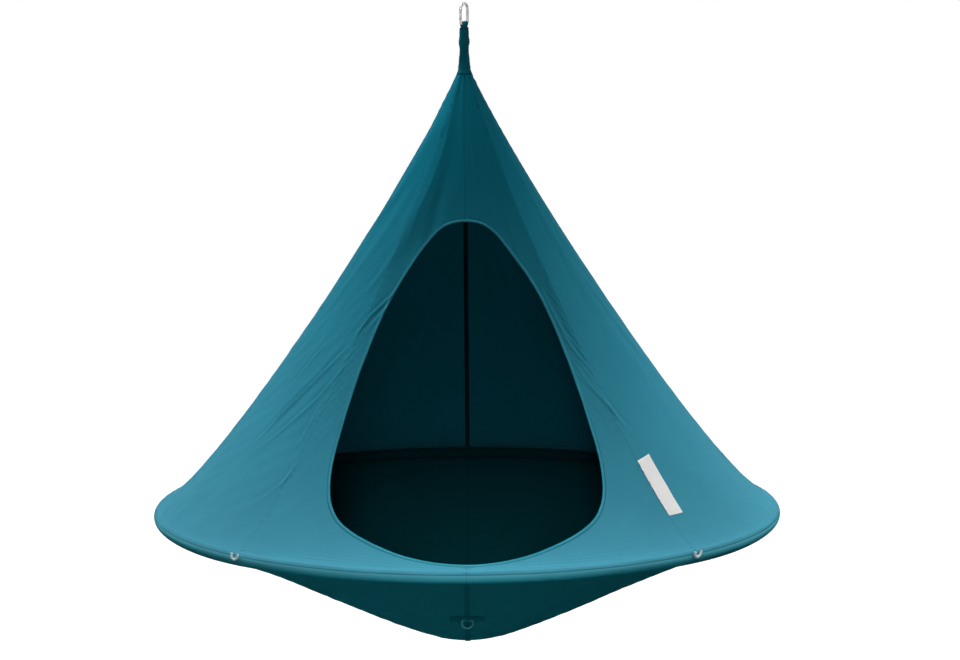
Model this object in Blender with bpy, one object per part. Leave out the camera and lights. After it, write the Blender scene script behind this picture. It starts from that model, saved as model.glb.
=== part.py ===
# Cocoon hammock: a hanging cone tent sewn to a ring, with a bowl for a floor.
# Metres, +Z up. The origin is the hanging point, inside the top of the snap hook's bow.
# The doorway faces -Y.

import math

import bmesh
import bpy
import numpy as np
from mathutils import Matrix, Vector

# Gap between two pieces that touch or are sewn to each other
GAP = 0.0003

# Ring of joined aluminium tubes, and the fabric wrapped round it
RING_RADIUS = 0.750
RING_TUBE_RADIUS = 0.013
RING_TUBE_WALL = 0.0016
RING_TUBE_COUNT = 6
FERRULE_LENGTH = 0.100
FERRULE_WALL = 0.0015

# Fabric, tape and binding
FABRIC = 0.0012
STRAP_WIDTH = 0.011
STRAP_THICKNESS = 0.0012
STRAP_CROWN = 0.0004
BINDING_WIDTH = 0.007
BINDING_THICKNESS = 0.003

# Canopy: heights are above the ring plane, slopes are from the vertical
CANOPY_HEIGHT = 1.0513
APEX_DROP = 0.1677
APEX_RADIUS = 0.0195
APEX_SLOPE = 25.5
APEX_REACH = 0.332
COLLAR_LENGTH = 0.0147
RIM_LEAVE_ANGLE = 68.4
RIM_REACH = 0.1355
HEM_SEAM_ANGLE = 34.0
CREASE = 0.22
SEAM_LEAN = 11.0
FOLD_DEPTH = 0.006

# Bowl: depth is below the ring plane
BOWL_DEPTH = 0.3124
BOWL_LEAVE_ANGLE = -74.7
BOWL_REACH = 0.263
BOWL_FLAT = 0.148
BOWL_EYE_RADIUS = 0.003
BOWL_TAPE_WIDTH = 0.012

# Doorway: shares of its half width and of the canopy's height, from the sill to the top
DOOR_HALF_WIDTH = 0.3115
DOOR_OUTLINE = (
    (0.000, 0.0238),
    (0.451, 0.0371),
    (0.831, 0.0742),
    (0.981, 0.1141),
    (1.000, 0.1807),
    (0.915, 0.2749),
    (0.769, 0.3957),
    (0.579, 0.5194),
    (0.379, 0.6116),
    (0.186, 0.6777),
    (0.000, 0.6944),
)

# Anchor point under the front of the bowl
ANCHOR_REACH = 0.338
PATCH_WIDTH = 0.080
PATCH_LENGTH = 0.045
PATCH_THICKNESS = 0.0012
KEEPER_WIDTH = 0.014
KEEPER_THICKNESS = 0.0014
KEEPER_TAIL = 0.012
D_RING_WIRE = 0.002
D_RING_WIDTH = 0.026
D_RING_STRAIGHT = 0.006

# Tie loops at the rim
LOOP_CORD_RADIUS = 0.00275
LOOP_WIDTH = 0.026
LOOP_LEG = 0.0055
LOOP_TOP_ANGLE = 56.0

# Label on the right front seam
LABEL_TOP = 0.200
LABEL_BOTTOM = 0.083
LABEL_WIDTH = 0.048
LABEL_THICKNESS = 0.0008

# Snap hook: outline of the rod's centre line
HOOK_ROD = 0.0035
HOOK_HALF_WIDTH = 0.015
HOOK_CORNER = 0.006
HOOK_SIDE = 0.027
HOOK_TURN = 33.0
GATE_RADIUS = 0.0031
GATE_LENGTH = 0.0215
GATE_PIVOT_RISE = 0.0115
GATE_PIVOT_END = 0.0025
TONGUE_THICKNESS = 0.0022
TONGUE_RADIUS = 0.0026
NOSE_TOOTH_THICKNESS = 0.0018
NOSE_TOOTH_LENGTH = 0.0025
PIN_RADIUS = 0.0008
SPRING_RADIUS = 0.00105
SPRING_WIRE = 0.0003
SPRING_TURNS = 8
SPRING_LENGTH = 0.009

# Sling and its sleeve
SLING_WIDTH = 0.0184
SLING_THICKNESS = 0.0024
SLING_JOIN_DROP = 0.014
SLING_TAIL_INSIDE = 0.006
SLEEVE_TOP_DROP = 0.0095
SLEEVE_EASE = 0.0014
SLEEVE_TWIST_TOP = 0.058
SLEEVE_TWIST_LENGTH = 0.030
SLEEVE_HEM_LIFT = 0.005

# Mesh steps: stations round the ring, along the canopy and along the bowl
RING_STEP = 7.5
GORE_COLUMNS = 6
CANOPY_ROWS = 16
RIM_ROWS = 3
BOWL_ROWS = 9
BOWL_RIM_ROWS = 7
TUBE_SIDES = 10
TWIST_ROWS = 9
SLEEVE_SIDES = 16
DOOR_ROWS = 6

# Sizes that follow from the ones above
RING_DROP = CANOPY_HEIGHT + APEX_DROP
POCKET_INNER = RING_TUBE_RADIUS + GAP
POCKET_OUTER = POCKET_INNER + FABRIC
RIM_RADIUS = POCKET_OUTER + GAP + FABRIC
RIM_CENTRE = RING_RADIUS - RIM_RADIUS
COLLAR_RADIUS = APEX_RADIUS - COLLAR_LENGTH * math.tan(math.radians(APEX_SLOPE))
HOOK_RISE = HOOK_CORNER + HOOK_SIDE + HOOK_HALF_WIDTH
ROD_Z = HOOK_ROD - HOOK_RISE
HOOK_AXIS = Vector((-math.sin(math.radians(HOOK_TURN)), -math.cos(math.radians(HOOK_TURN)), 0))
HOOK_NORMAL = Vector((-HOOK_AXIS.y, HOOK_AXIS.x, 0))
SLEEVE_TWIST = 90 - HOOK_TURN


# Materials

def srgb(red, green, blue):
    """Linear colour of an 8-bit display colour."""
    channels = [value / 255 for value in (red, green, blue)]
    linear = [c / 12.92 if c <= 0.04045 else ((c + 0.055) / 1.055) ** 2.4 for c in channels]
    return (*linear, 1.0)


def material(name, colour, roughness, metallic=0.0):
    """A plain finish with one Principled BSDF."""
    made = bpy.data.materials.new(name)
    made.use_nodes = True
    shader = made.node_tree.nodes["Principled BSDF"]
    shader.inputs["Base Color"].default_value = colour
    shader.inputs["Roughness"].default_value = roughness
    shader.inputs["Metallic"].default_value = metallic
    made.diffuse_color = colour
    return made


# Making solids

def add_object(name, verts, faces, finish, smooth_angle=35):
    """Add one closed mesh with its faces pointing out."""
    mesh = bpy.data.meshes.new(name)
    mesh.from_pydata([tuple(v) for v in verts], [], faces)
    solid = bmesh.new()
    solid.from_mesh(mesh)
    bmesh.ops.recalc_face_normals(solid, faces=solid.faces)
    solid.to_mesh(mesh)
    solid.free()
    mesh.shade_smooth()
    mesh.set_sharp_from_angle(angle=math.radians(smooth_angle))
    mesh.materials.append(finish)
    item = bpy.data.objects.new(name, mesh)
    bpy.context.collection.objects.link(item)
    return item


def grid_faces(rows, columns, start=0):
    """Quads over a grid of rows x columns points, numbered row by row."""
    faces = []
    for row in range(rows - 1):
        for column in range(columns - 1):
            corner = start + row * columns + column
            faces.append((corner, corner + 1, corner + columns + 1, corner + columns))
    return faces


def slab(name, points, faces, place, near, far, finish):
    """A sheet of faces given a thickness: place(point, depth) puts each point in space."""
    count = len(points)
    verts = [place(point, near) for point in points] + [place(point, far) for point in points]
    solid = list(faces) + [tuple(count + index for index in reversed(face)) for face in faces]
    edges = {}
    for face in faces:
        for first, second in zip(face, face[1:] + face[:1]):
            if (second, first) in edges:
                del edges[(second, first)]
            else:
                edges[(first, second)] = True
    for first, second in edges:
        solid.append((second, first, count + first, count + second))
    return add_object(name, verts, solid, finish)


def ring_walls(loops, closed):
    """Quads that join each loop of a list to the next; closed joins the last to the first."""
    sides = len(loops[0])
    faces = []
    for row in range(len(loops) if closed else len(loops) - 1):
        after = (row + 1) % len(loops)
        for side in range(sides):
            turn = (side + 1) % sides
            faces.append((row * sides + side, row * sides + turn,
                          after * sides + turn, after * sides + side))
    return faces


def tube(name, path, radius, sides, finish, closed=False, across=None):
    """A round rod along a path that lies in the plane square to the vector across."""
    loops = []
    for index, point in enumerate(path):
        before = path[index - 1] if closed or index else point
        after = path[(index + 1) % len(path)] if closed or index < len(path) - 1 else point
        along = (after - before).normalized()
        inward = across.cross(along).normalized()
        loops.append([
            point + radius * (math.cos(angle) * across + math.sin(angle) * inward)
            for angle in [2 * math.pi * side / sides for side in range(sides)]
        ])
    verts = [vert for loop in loops for vert in loop]
    faces = ring_walls(loops, closed)
    if not closed:
        faces.append(tuple(range(sides)))
        faces.append(tuple(range((len(path) - 1) * sides, len(path) * sides)))
    return add_object(name, verts, faces, finish)


def hollow_loft(name, outer, inner, finish):
    """A sleeve with open ends, from matching lists of outer and inner loops."""
    sides = len(outer[0])
    verts = [vert for loop in outer + inner[::-1] for vert in loop]
    return add_object(name, verts, ring_walls(outer + inner[::-1], True), finish) if sides else None


def cut(target, cutter, operation="DIFFERENCE"):
    """Cut a solid with another, or join it on, and drop the tool."""
    change = target.modifiers.new(operation.lower(), "BOOLEAN")
    change.operation = operation
    change.solver = "EXACT"
    change.object = cutter
    with bpy.context.temp_override(object=target, active_object=target):
        bpy.ops.object.modifier_apply(modifier=change.name)
    bpy.data.objects.remove(cutter, do_unlink=True)


# Curves

def bezier(first, second, third, last):
    """Cubic curve as a function of 0 to 1."""
    points = [np.array(point) for point in (first, second, third, last)]

    def at(t):
        weights = ((1 - t) ** 3, 3 * (1 - t) ** 2 * t, 3 * (1 - t) * t * t, t ** 3)
        return sum(weight * point for weight, point in zip(weights, points))
    return at


def straight(first, last):
    """Straight run as a function of 0 to 1."""
    return lambda t: np.array(first) + t * (np.array(last) - np.array(first))


def rim_point(angle, radius=RIM_RADIUS):
    """Point of the ring's cross-section at an angle above the outward direction."""
    turn = math.radians(angle)
    return (RIM_CENTRE + radius * math.cos(turn), radius * math.sin(turn))


def rim_direction(angle):
    """Direction round the ring's cross-section, with the angle growing."""
    turn = math.radians(angle)
    return np.array((-math.sin(turn), math.cos(turn)))


def rim_arc(first, last):
    """Run round the ring's cross-section as a function of 0 to 1."""
    return lambda t: np.array(rim_point(first + t * (last - first)))


def smooth_through(points, finer=12):
    """Catmull-Rom curve through points, level at both ends."""
    first, last = points[0], points[-1]
    ends = [(-points[1][0], points[1][1])] + list(points) + [(-points[-2][0], points[-2][1])]
    knots = [np.array(point) for point in ends]
    curve = []
    for a, b, c, d in zip(knots, knots[1:], knots[2:], knots[3:]):
        for step in range(finer):
            t = step / finer
            curve.append(0.5 * (2 * b + (c - a) * t + (2 * a - 5 * b + 4 * c - d) * t ** 2
                                + (3 * b - a - 3 * c + d) * t ** 3))
    curve[0] = np.array(first)
    return curve + [np.array(last)]


class Meridian:
    """Half section of a round sheet: radius and height along its length."""

    def __init__(self, runs, finer=10):
        points, stations = [], []
        for run, count in runs:
            for step in range(count * finer):
                if step % finer == 0:
                    stations.append(len(points))
                points.append(run(step / (count * finer)))
        stations.append(len(points))
        points.append(runs[-1][0](1.0))
        self.points = np.array(points)
        steps = np.linalg.norm(np.diff(self.points, axis=0), axis=1)
        self.along = np.concatenate(([0.0], np.cumsum(steps)))
        self.slope = np.gradient(self.points, self.along, axis=0)
        self.stations = [float(self.along[index]) for index in stations]

    def at(self, along, depth=0.0):
        """Radius and height at a length along the sheet, moved in by depth."""
        radius, height, radial, fall = [
            float(np.interp(along, self.along, values))
            for values in (*self.points.T, *self.slope.T)
        ]
        size = math.hypot(radial, fall)
        return radius + depth * fall / size, height - depth * radial / size

    def at_height(self, height):
        """Length along the sheet where it has this height."""
        return float(np.interp(-height, -self.points[:, 1], self.along))


def polar(radius, azimuth, height):
    """Point at an azimuth in degrees from the front; height is above the ring plane."""
    turn = math.radians(azimuth)
    return Vector((radius * math.sin(turn), -radius * math.cos(turn), height - RING_DROP))


def half_gap(radius):
    """Half of the seam gap, as an azimuth in degrees."""
    return math.degrees(0.5 * GAP / radius)


# Canopy surface

HEM_GAP_ANGLE = math.degrees(0.5 * GAP / RIM_RADIUS)
APEX_POINT = (APEX_RADIUS, CANOPY_HEIGHT)
APEX_LEAVE = np.array((math.sin(math.radians(APEX_SLOPE)), -math.cos(math.radians(APEX_SLOPE))))
RIM_TOUCH = np.array(rim_point(RIM_LEAVE_ANGLE))

canopy_line = Meridian((
    (straight((COLLAR_RADIUS, CANOPY_HEIGHT + COLLAR_LENGTH), APEX_POINT), 1),
    (bezier(APEX_POINT, APEX_POINT + APEX_REACH * APEX_LEAVE,
            RIM_TOUCH + RIM_REACH * rim_direction(RIM_LEAVE_ANGLE), RIM_TOUCH), CANOPY_ROWS),
    (rim_arc(RIM_LEAVE_ANGLE, HEM_SEAM_ANGLE + HEM_GAP_ANGLE), RIM_ROWS),
))
APEX_ALONG = canopy_line.stations[1]
TOUCH_ALONG = canopy_line.stations[1 + CANOPY_ROWS]


def canopy_share(along):
    """1 at the apex, falling to 0 where the canopy touches the ring."""
    return max(0.0, 1 - along / TOUCH_ALONG)


def seam_azimuth(seam, along):
    """Azimuth of seam 0 to 8; seams 1, 3, 5 and 7 lean to the front and back near the apex."""
    corner = 45 - SEAM_LEAN * canopy_share(along) ** 1.5
    quarter, odd = divmod(seam, 2)
    if not odd:
        return 90.0 * quarter
    return (corner, 180 - corner, 180 + corner, 360 - corner)[quarter]


def crease_factor(along, azimuth):
    """The cone is drawn flat between its four corner seams, most near the apex."""
    corner = seam_azimuth(1, along)
    folded = abs((azimuth + 90) % 180 - 90)
    turn = 45 * folded / corner if folded <= corner else 45 * (90 - folded) / (90 - corner)
    return math.cos(math.radians(turn)) ** (-CREASE * canopy_share(along))


def fold_depth(along, azimuth):
    """Two long soft creases that run down the left wall from beside the doorway."""
    turn = (azimuth + 180) % 360 - 180
    share = along / TOUCH_ALONG
    depth = 0.0
    for start, strength in ((-47.0, 1.0), (-52.0, 0.7)):
        ridge = start - 26 * (share - 0.35)
        across = (turn - ridge) / 5.0
        fade = math.exp(-((share - 0.62) / 0.20) ** 2)
        depth += strength * FOLD_DEPTH * fade * math.exp(-across ** 2) * (1 if -90 < turn < -45 else 0)
    edge = min(abs(turn + 90), abs(turn + seam_azimuth(1, along)))
    return depth * min(1.0, edge / 8.0, 8.0 * canopy_share(along))


def canopy_point(point, depth):
    """A point of the canopy from (length along, azimuth), moved in by depth."""
    along, azimuth = point
    radius, _ = canopy_line.at(along)
    inset, height = canopy_line.at(along, depth + fold_depth(along, azimuth))
    return polar(radius * crease_factor(along, azimuth) + inset - radius, azimuth, height)


def canopy_gore(name, seam, finish):
    """One whole gore between two neighbouring seams."""
    points = []
    for along in canopy_line.stations:
        gap = half_gap(canopy_line.at(along)[0])
        first = seam_azimuth(seam, along) + gap
        last = seam_azimuth(seam + 1, along) - gap
        for column in range(GORE_COLUMNS + 1):
            points.append((along, first + (last - first) * column / GORE_COLUMNS))
    faces = grid_faces(len(canopy_line.stations), GORE_COLUMNS + 1)
    return slab(name, points, faces, canopy_point, 0.0, FABRIC, finish)


# Doorway

class DoorEdge:
    """Half of the doorway's edge on the canopy, from the sill's middle to the top."""

    def __init__(self):
        line = []
        for width_share, height_share in smooth_through(DOOR_OUTLINE):
            half_width = DOOR_HALF_WIDTH * width_share
            along = canopy_line.at_height(CANOPY_HEIGHT * height_share)
            azimuth = 0.0
            for _ in range(12):
                radius = canopy_line.at(along)[0] * crease_factor(along, azimuth)
                azimuth = math.degrees(math.asin(min(1.0, half_width / radius)))
            line.append((along, azimuth))
        self.line = np.array(line)
        radii = np.array([canopy_line.at(along)[0] for along, _ in line])
        self.radii = radii
        flat = np.stack((self.line[:, 0], np.radians(self.line[:, 1]) * radii), axis=1)
        steps = np.linalg.norm(np.diff(flat, axis=0), axis=1)
        self.length = np.concatenate(([0.0], np.cumsum(steps)))
        slope = np.gradient(flat, self.length, axis=0)
        self.outward = np.stack((slope[:, 1], -slope[:, 0]), axis=1)
        self.outward /= np.linalg.norm(self.outward, axis=1)[:, None]
        self.outward[0], self.outward[-1] = (1.0, 0.0), (-1.0, 0.0)

    def at(self, share, offset):
        """(length along, azimuth) at a share of the edge, moved out into the fabric."""
        place = share * self.length[-1]
        along, azimuth, radius, out_along, out_across = [
            float(np.interp(place, self.length, values))
            for values in (*self.line.T, self.radii, *self.outward.T)
        ]
        return along + offset * out_along, azimuth + math.degrees(offset * out_across / radius)


door = DoorEdge()
DOOR_SILL_SHARE = 0.30
DOOR_TOP_SHARE = 0.955
DOOR_TOP_COLUMNS = 3
UPPER_STATIONS = canopy_line.stations[:CANOPY_ROWS + 2]


def door_shares():
    """Shares of the doorway's edge that face the hem, the side seam and the collar."""
    side = len(UPPER_STATIONS) - 1
    shares = [DOOR_SILL_SHARE * column / GORE_COLUMNS for column in range(GORE_COLUMNS)]
    shares += [DOOR_SILL_SHARE + (DOOR_TOP_SHARE - DOOR_SILL_SHARE) * row / side
               for row in range(side)]
    shares += [DOOR_TOP_SHARE + (1 - DOOR_TOP_SHARE) * column / DOOR_TOP_COLUMNS
               for column in range(DOOR_TOP_COLUMNS + 1)]
    return shares


def gore_border():
    """The front gore's border opposite each share: hem line, side seam and collar."""
    foot = UPPER_STATIONS[-1]
    border = [(foot, seam_azimuth(1, foot) * column / GORE_COLUMNS)
              for column in range(GORE_COLUMNS)]
    border += [(along, seam_azimuth(1, along)) for along in UPPER_STATIONS[:0:-1]]
    border += [(0.0, seam_azimuth(1, 0.0) * (1 - column / DOOR_TOP_COLUMNS))
               for column in range(DOOR_TOP_COLUMNS + 1)]
    return border


def front_gore(name, side, finish):
    """Front gore with its half of the doorway; side is 1 on the right and -1 on the left."""
    border = gore_border()
    points = []
    for row in range(DOOR_ROWS + 1):
        for share, (along, azimuth) in zip(door_shares(), border):
            edge_along, edge_azimuth = door.at(share, BINDING_WIDTH + GAP)
            blend = row / DOOR_ROWS
            points.append((edge_along + blend * (along - edge_along),
                           edge_azimuth + blend * (azimuth - edge_azimuth)))
    faces = grid_faces(DOOR_ROWS + 1, len(border))
    foot_row = DOOR_ROWS * len(border)
    hem_start = len(points)
    for along in canopy_line.stations[CANOPY_ROWS + 2:]:
        points += [(along, seam_azimuth(1, along) * column / GORE_COLUMNS)
                   for column in range(GORE_COLUMNS + 1)]
    hem_rows = len(canopy_line.stations) - CANOPY_ROWS - 2
    faces += [(foot_row + column, foot_row + column + 1, hem_start + column + 1,
               hem_start + column) for column in range(GORE_COLUMNS)]
    faces += grid_faces(hem_rows, GORE_COLUMNS + 1, hem_start)
    placed = []
    for along, azimuth in points:
        gap = half_gap(canopy_line.at(along)[0])
        inside = min(max(azimuth, gap), seam_azimuth(1, along) - gap)
        placed.append((along, side * inside))
    return slab(name, placed, faces, canopy_point, 0.0, FABRIC, finish)


def door_binding(name, finish):
    """Folded tape round the doorway, over the cut edges of the two front gores."""
    near = 0.5 * (FABRIC - BINDING_THICKNESS)
    far = 0.5 * (FABRIC + BINDING_THICKNESS)
    shares = door_shares()
    stations = [(share, 1) for share in shares] + [(share, -1) for share in shares[-2:0:-1]]
    loops = []
    for share, side in stations:
        loop = []
        for offset, depth in ((BINDING_WIDTH, near), (0.0, near), (0.0, far),
                              (BINDING_WIDTH, far)):
            along, azimuth = door.at(share, offset)
            loop.append(canopy_point((along, side * azimuth), depth))
        loops.append(loop)
    verts = [vert for loop in loops for vert in loop]
    return add_object(name, verts, ring_walls(loops, True), finish)


# Seam straps inside the canopy

def seam_strap(name, seam, stations, finish):
    """Flat strap along the inside of one seam, crowned so that its edges lie clear."""
    outer, inner = [], []
    for along in stations:
        azimuth = seam_azimuth(seam, along)
        here = canopy_point((along, azimuth), FABRIC + GAP)
        rows = ([], [])
        for side in (-1, 1):
            turn = seam_azimuth(seam + side, along) if 0 < seam + side < 8 else azimuth + side * 45
            step = (turn - azimuth) / GORE_COLUMNS
            there = canopy_point((along, azimuth + step), FABRIC + GAP)
            reach = min(0.5 * STRAP_WIDTH, 0.9 * (there - here).length)
            edge = here + (there - here).normalized() * reach
            inward = Vector((-edge.x, -edge.y, 0)).normalized()
            rows[0].append(edge + STRAP_CROWN * inward)
            rows[1].append(edge + (STRAP_CROWN + STRAP_THICKNESS) * inward)
        back = Vector((-here.x, -here.y, 0)).normalized()
        outer.append((rows[0][0], here, rows[0][1]))
        inner.append((rows[1][0], here + STRAP_THICKNESS * back, rows[1][1]))
    points = [(row, column) for row in range(len(stations)) for column in range(3)]
    faces = grid_faces(len(stations), 3)

    def place(point, layer):
        row, column = point
        return (inner if layer else outer)[row][column]
    return slab(name, points, faces, place, 0, 1, finish)


def strap_stations():
    """Stations from the apex down to where the strap's end meets the ring pocket."""
    room = STRAP_THICKNESS + 2 * GAP + STRAP_CROWN
    foot = TOUCH_ALONG - math.sqrt(2 * (POCKET_OUTER + room) * room) - GAP
    return [along for along in UPPER_STATIONS[1:] if along < foot - STRAP_WIDTH / 2] + [foot]


def front_strap_stations():
    """Stations of the short front strap, which ends at the top of the doorway."""
    top = door.at(1.0, BINDING_WIDTH + 2 * GAP)[0]
    rows = [top * (1 - row / DOOR_ROWS) for row in range(DOOR_ROWS)]
    return [APEX_ALONG] + [along for along in rows[::-1] if along > APEX_ALONG * 1.2]


# Ring, its ferrules and its pocket

def ring_centre(azimuth):
    """Radius of the ring's centre line, which runs straight between stations."""
    return (RIM_CENTRE * math.cos(math.radians(RING_STEP / 2))
            / math.cos(math.radians(azimuth % RING_STEP - RING_STEP / 2)))


def ring_arc(name, outer, inner, first, last, finish):
    """Hollow arc of the ring between two azimuths."""
    inside = math.floor(first / RING_STEP + 1e-6) + 1
    beyond = math.ceil(last / RING_STEP - 1e-6)
    azimuths = [first] + [RING_STEP * step for step in range(inside, beyond)] + [last]
    walls = ([], [])
    for azimuth in azimuths:
        middle = ring_centre(azimuth)
        for wall, radius in zip(walls, (outer, inner)):
            wall.append([
                polar(middle + radius * math.cos(angle), azimuth, radius * math.sin(angle))
                for angle in [2 * math.pi * side / TUBE_SIDES for side in range(TUBE_SIDES)]
            ])
    return hollow_loft(name, walls[0], walls[1], finish)


# Bowl

BOWL_TOUCH = np.array(rim_point(BOWL_LEAVE_ANGLE))
bowl_line = Meridian((
    (rim_arc(HEM_SEAM_ANGLE - HEM_GAP_ANGLE, BOWL_LEAVE_ANGLE), BOWL_RIM_ROWS),
    (bezier(BOWL_TOUCH, BOWL_TOUCH - BOWL_REACH * rim_direction(BOWL_LEAVE_ANGLE),
            (BOWL_FLAT, -BOWL_DEPTH), (BOWL_EYE_RADIUS, -BOWL_DEPTH)), BOWL_ROWS),
))
BOWL_TOUCH_ALONG = bowl_line.stations[BOWL_RIM_ROWS]


def bowl_point(point, depth):
    """A point of the bowl from (length along, azimuth), moved in by depth."""
    along, azimuth = point
    radius, height = bowl_line.at(along, depth)
    return polar(max(radius, BOWL_EYE_RADIUS), azimuth, height)


def bowl_panel(name, quarter, finish):
    """A quarter of the bowl, from the hem seam down to its lowest point."""
    columns = int(90 / RING_STEP) + 1
    points = []
    for along in bowl_line.stations:
        gap = half_gap(bowl_line.at(along)[0])
        first, last = 90 * quarter + gap, 90 * quarter + 90 - gap
        points += [(along, first + (last - first) * column / (columns - 1))
                   for column in range(columns)]
    faces = grid_faces(len(bowl_line.stations), columns)
    return slab(name, points, faces, bowl_point, 0.0, FABRIC, finish)


def bowl_tape(name, azimuth, first, last, beyond, finish):
    """Tape outside a bowl seam, from one length along to another; beyond runs it on
    over the lowest point and up the far side as far as the seam there."""
    inner = [along for along in bowl_line.stations if first + GAP < along < last - GAP]
    alongs = [(along, 1) for along in [first] + inner + [last]]
    if beyond:
        up = [along for along in bowl_line.stations if BOWL_TOUCH_ALONG <= along < last - GAP]
        alongs += [(last, -1)] + [(along, -1) for along in up[::-1]]
    turn = Matrix.Rotation(math.radians(azimuth), 4, "Z")
    points = [(place, side) for place in alongs for side in (-1, 0, 1)]
    faces = grid_faces(len(alongs), 3)

    def place(point, depth):
        (along, way), side = point
        radius, height = bowl_line.at(along, depth)
        spot = Vector((0.5 * BOWL_TAPE_WIDTH * side, -radius * way, height - RING_DROP))
        return turn @ spot
    return slab(name, points, faces, place, -GAP - FABRIC, -GAP, finish)


# Anchor patch, keeper and D-ring

def anchor_frame():
    """Length along the bowl at the anchor, its place, and its downhill and outward ways."""
    reach = bowl_line.along[np.argmin(abs(bowl_line.points[:, 0] - ANCHOR_REACH)
                                      + (bowl_line.along < BOWL_TOUCH_ALONG))]
    here = bowl_point((reach, 0.0), 0.0)
    ahead = bowl_point((reach + 0.002, 0.0), 0.0)
    downhill = (ahead - here).normalized()
    outward = Vector((1, 0, 0)).cross(downhill).normalized()
    if outward.z > 0:
        outward.negate()
    return float(reach), here, downhill, outward


def anchor_patch(name, reach, finish):
    """Doubled patch sewn over the front seam, where the anchor pulls."""
    rows, columns = 2, 5
    ends = (reach - 0.5 * PATCH_LENGTH, reach + 0.5 * PATCH_LENGTH)
    points = [(along, column / (columns - 1) - 0.5) for along in ends for column in range(columns)]

    def place(point, depth):
        along, share = point
        radius, height = bowl_line.at(along, depth)
        turn = math.degrees(PATCH_WIDTH * share / radius)
        return polar(radius, turn, height)
    return slab(name, points, grid_faces(rows, columns), place,
                -GAP - PATCH_THICKNESS, -GAP, finish)


def keeper_outline():
    """Section of the keeper: a tail on the patch that turns round the D-ring's bar."""
    bore = D_RING_WIRE + GAP
    outer = bore + KEEPER_THICKNESS
    turns = [math.radians(-90 + 300 * step / 12) for step in range(13)]
    inside = [(-KEEPER_TAIL, -bore)] + [(bore * math.cos(a), bore * math.sin(a)) for a in turns]
    outside = [(-KEEPER_TAIL, -outer)] + [(outer * math.cos(a), outer * math.sin(a)) for a in turns]
    return inside, outside


def half_ring(width, straight_part, count=10):
    """Centre line of a D-ring: its bar along X, its bow hanging below."""
    half = 0.5 * width
    bow = [Vector((half * math.cos(a), 0, -straight_part - half * math.sin(a)))
           for a in [math.pi * step / count for step in range(count + 1)]]
    bar = [Vector((-half, 0, 0)), Vector((half, 0, 0))]
    corner = 0.15 * half
    return [bar[0] + Vector((corner, 0, 0)), bar[1] - Vector((corner, 0, 0)),
            bar[1] - Vector((0, 0, corner))] + bow + [bar[0] - Vector((0, 0, corner))]


# Label

def facet_between(along, azimuth, seam, depth):
    """Point on the flat facets of a whole gore, moved out or in by depth."""
    stations = canopy_line.stations
    row = max(i for i, value in enumerate(stations[:-1]) if value <= along)
    share = (along - stations[row]) / (stations[row + 1] - stations[row])
    ends = []
    for station in (stations[row], stations[row + 1]):
        first, last = seam_azimuth(seam, station), seam_azimuth(seam + 1, station)
        place = (azimuth - first) / (last - first) * GORE_COLUMNS
        column = min(int(place), GORE_COLUMNS - 1)
        corners = [canopy_point((station, first + (last - first) * c / GORE_COLUMNS), depth)
                   for c in (column, column + 1)]
        ends.append(corners[0].lerp(corners[1], place - column))
    return ends[0].lerp(ends[1], share)


def label(name, finish):
    """Bare label sewn along the right front seam."""
    top, bottom = canopy_line.at_height(LABEL_TOP), canopy_line.at_height(LABEL_BOTTOM)
    rows = [top] + [s for s in canopy_line.stations if top + GAP < s < bottom - GAP] + [bottom]
    points = []
    for along in rows:
        radius = canopy_line.at(along)[0]
        seam = seam_azimuth(1, along) + math.degrees(0.002 / radius)
        points += [(along, seam), (along, seam + math.degrees(LABEL_WIDTH / radius))]

    def place(point, depth):
        return facet_between(point[0], point[1], 1, depth)
    return slab(name, points, grid_faces(len(rows), 2), place,
                -GAP - LABEL_THICKNESS, -GAP, finish)


# Snap hook

def hook_place(across, rise, normal=0.0):
    """A point in the snap hook's own plane, with rise measured from the lower bow."""
    return HOOK_AXIS * across + HOOK_NORMAL * normal + Vector((0, 0, ROD_Z + rise))


def hook_path():
    """Rod's centre line, from the gate's hinge round the bows to the nose."""
    straight_half = HOOK_HALF_WIDTH - HOOK_CORNER
    top = HOOK_CORNER + HOOK_SIDE
    pivot_corner = math.hypot(GATE_RADIUS, GATE_PIVOT_END)
    path = [(HOOK_HALF_WIDTH, GATE_PIVOT_RISE - pivot_corner - 2 * GAP)]
    path += [(straight_half + HOOK_CORNER * math.cos(a), HOOK_CORNER + HOOK_CORNER * math.sin(a))
             for a in [-math.pi / 2 * step / 5 for step in range(6)]]
    path += [(-straight_half + HOOK_CORNER * math.cos(a), HOOK_CORNER + HOOK_CORNER * math.sin(a))
             for a in [-math.pi / 2 - math.pi / 2 * step / 5 for step in range(6)]]
    path += [(HOOK_HALF_WIDTH * math.cos(a), top + HOOK_HALF_WIDTH * math.sin(a))
             for a in [math.pi - math.pi * step / 12 for step in range(13)]]
    nose = GATE_PIVOT_RISE - GATE_PIVOT_END + GATE_LENGTH + 2 * GAP
    return path + [(HOOK_HALF_WIDTH, nose)], nose


def hook_plate(low, high, half_width, thickness, round_end):
    """Flat tongue in the hook's plane, centred on the gate's line."""
    outline = [(-half_width, low), (half_width, low), (half_width, high)]
    if round_end:
        outline += [(half_width * math.cos(a), high + half_width * math.sin(a))
                    for a in [math.pi * step / 8 for step in range(1, 8)]]
    outline += [(-half_width, high)]
    verts = [hook_place(HOOK_HALF_WIDTH + x, y, z) for z in (-thickness / 2, thickness / 2)
             for x, y in outline]
    count = len(outline)
    faces = [tuple(range(count)), tuple(range(2 * count - 1, count - 1, -1))]
    faces += [(i, (i + 1) % count, count + (i + 1) % count, count + i) for i in range(count)]
    return add_object("tongue", verts, faces, steel)


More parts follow.
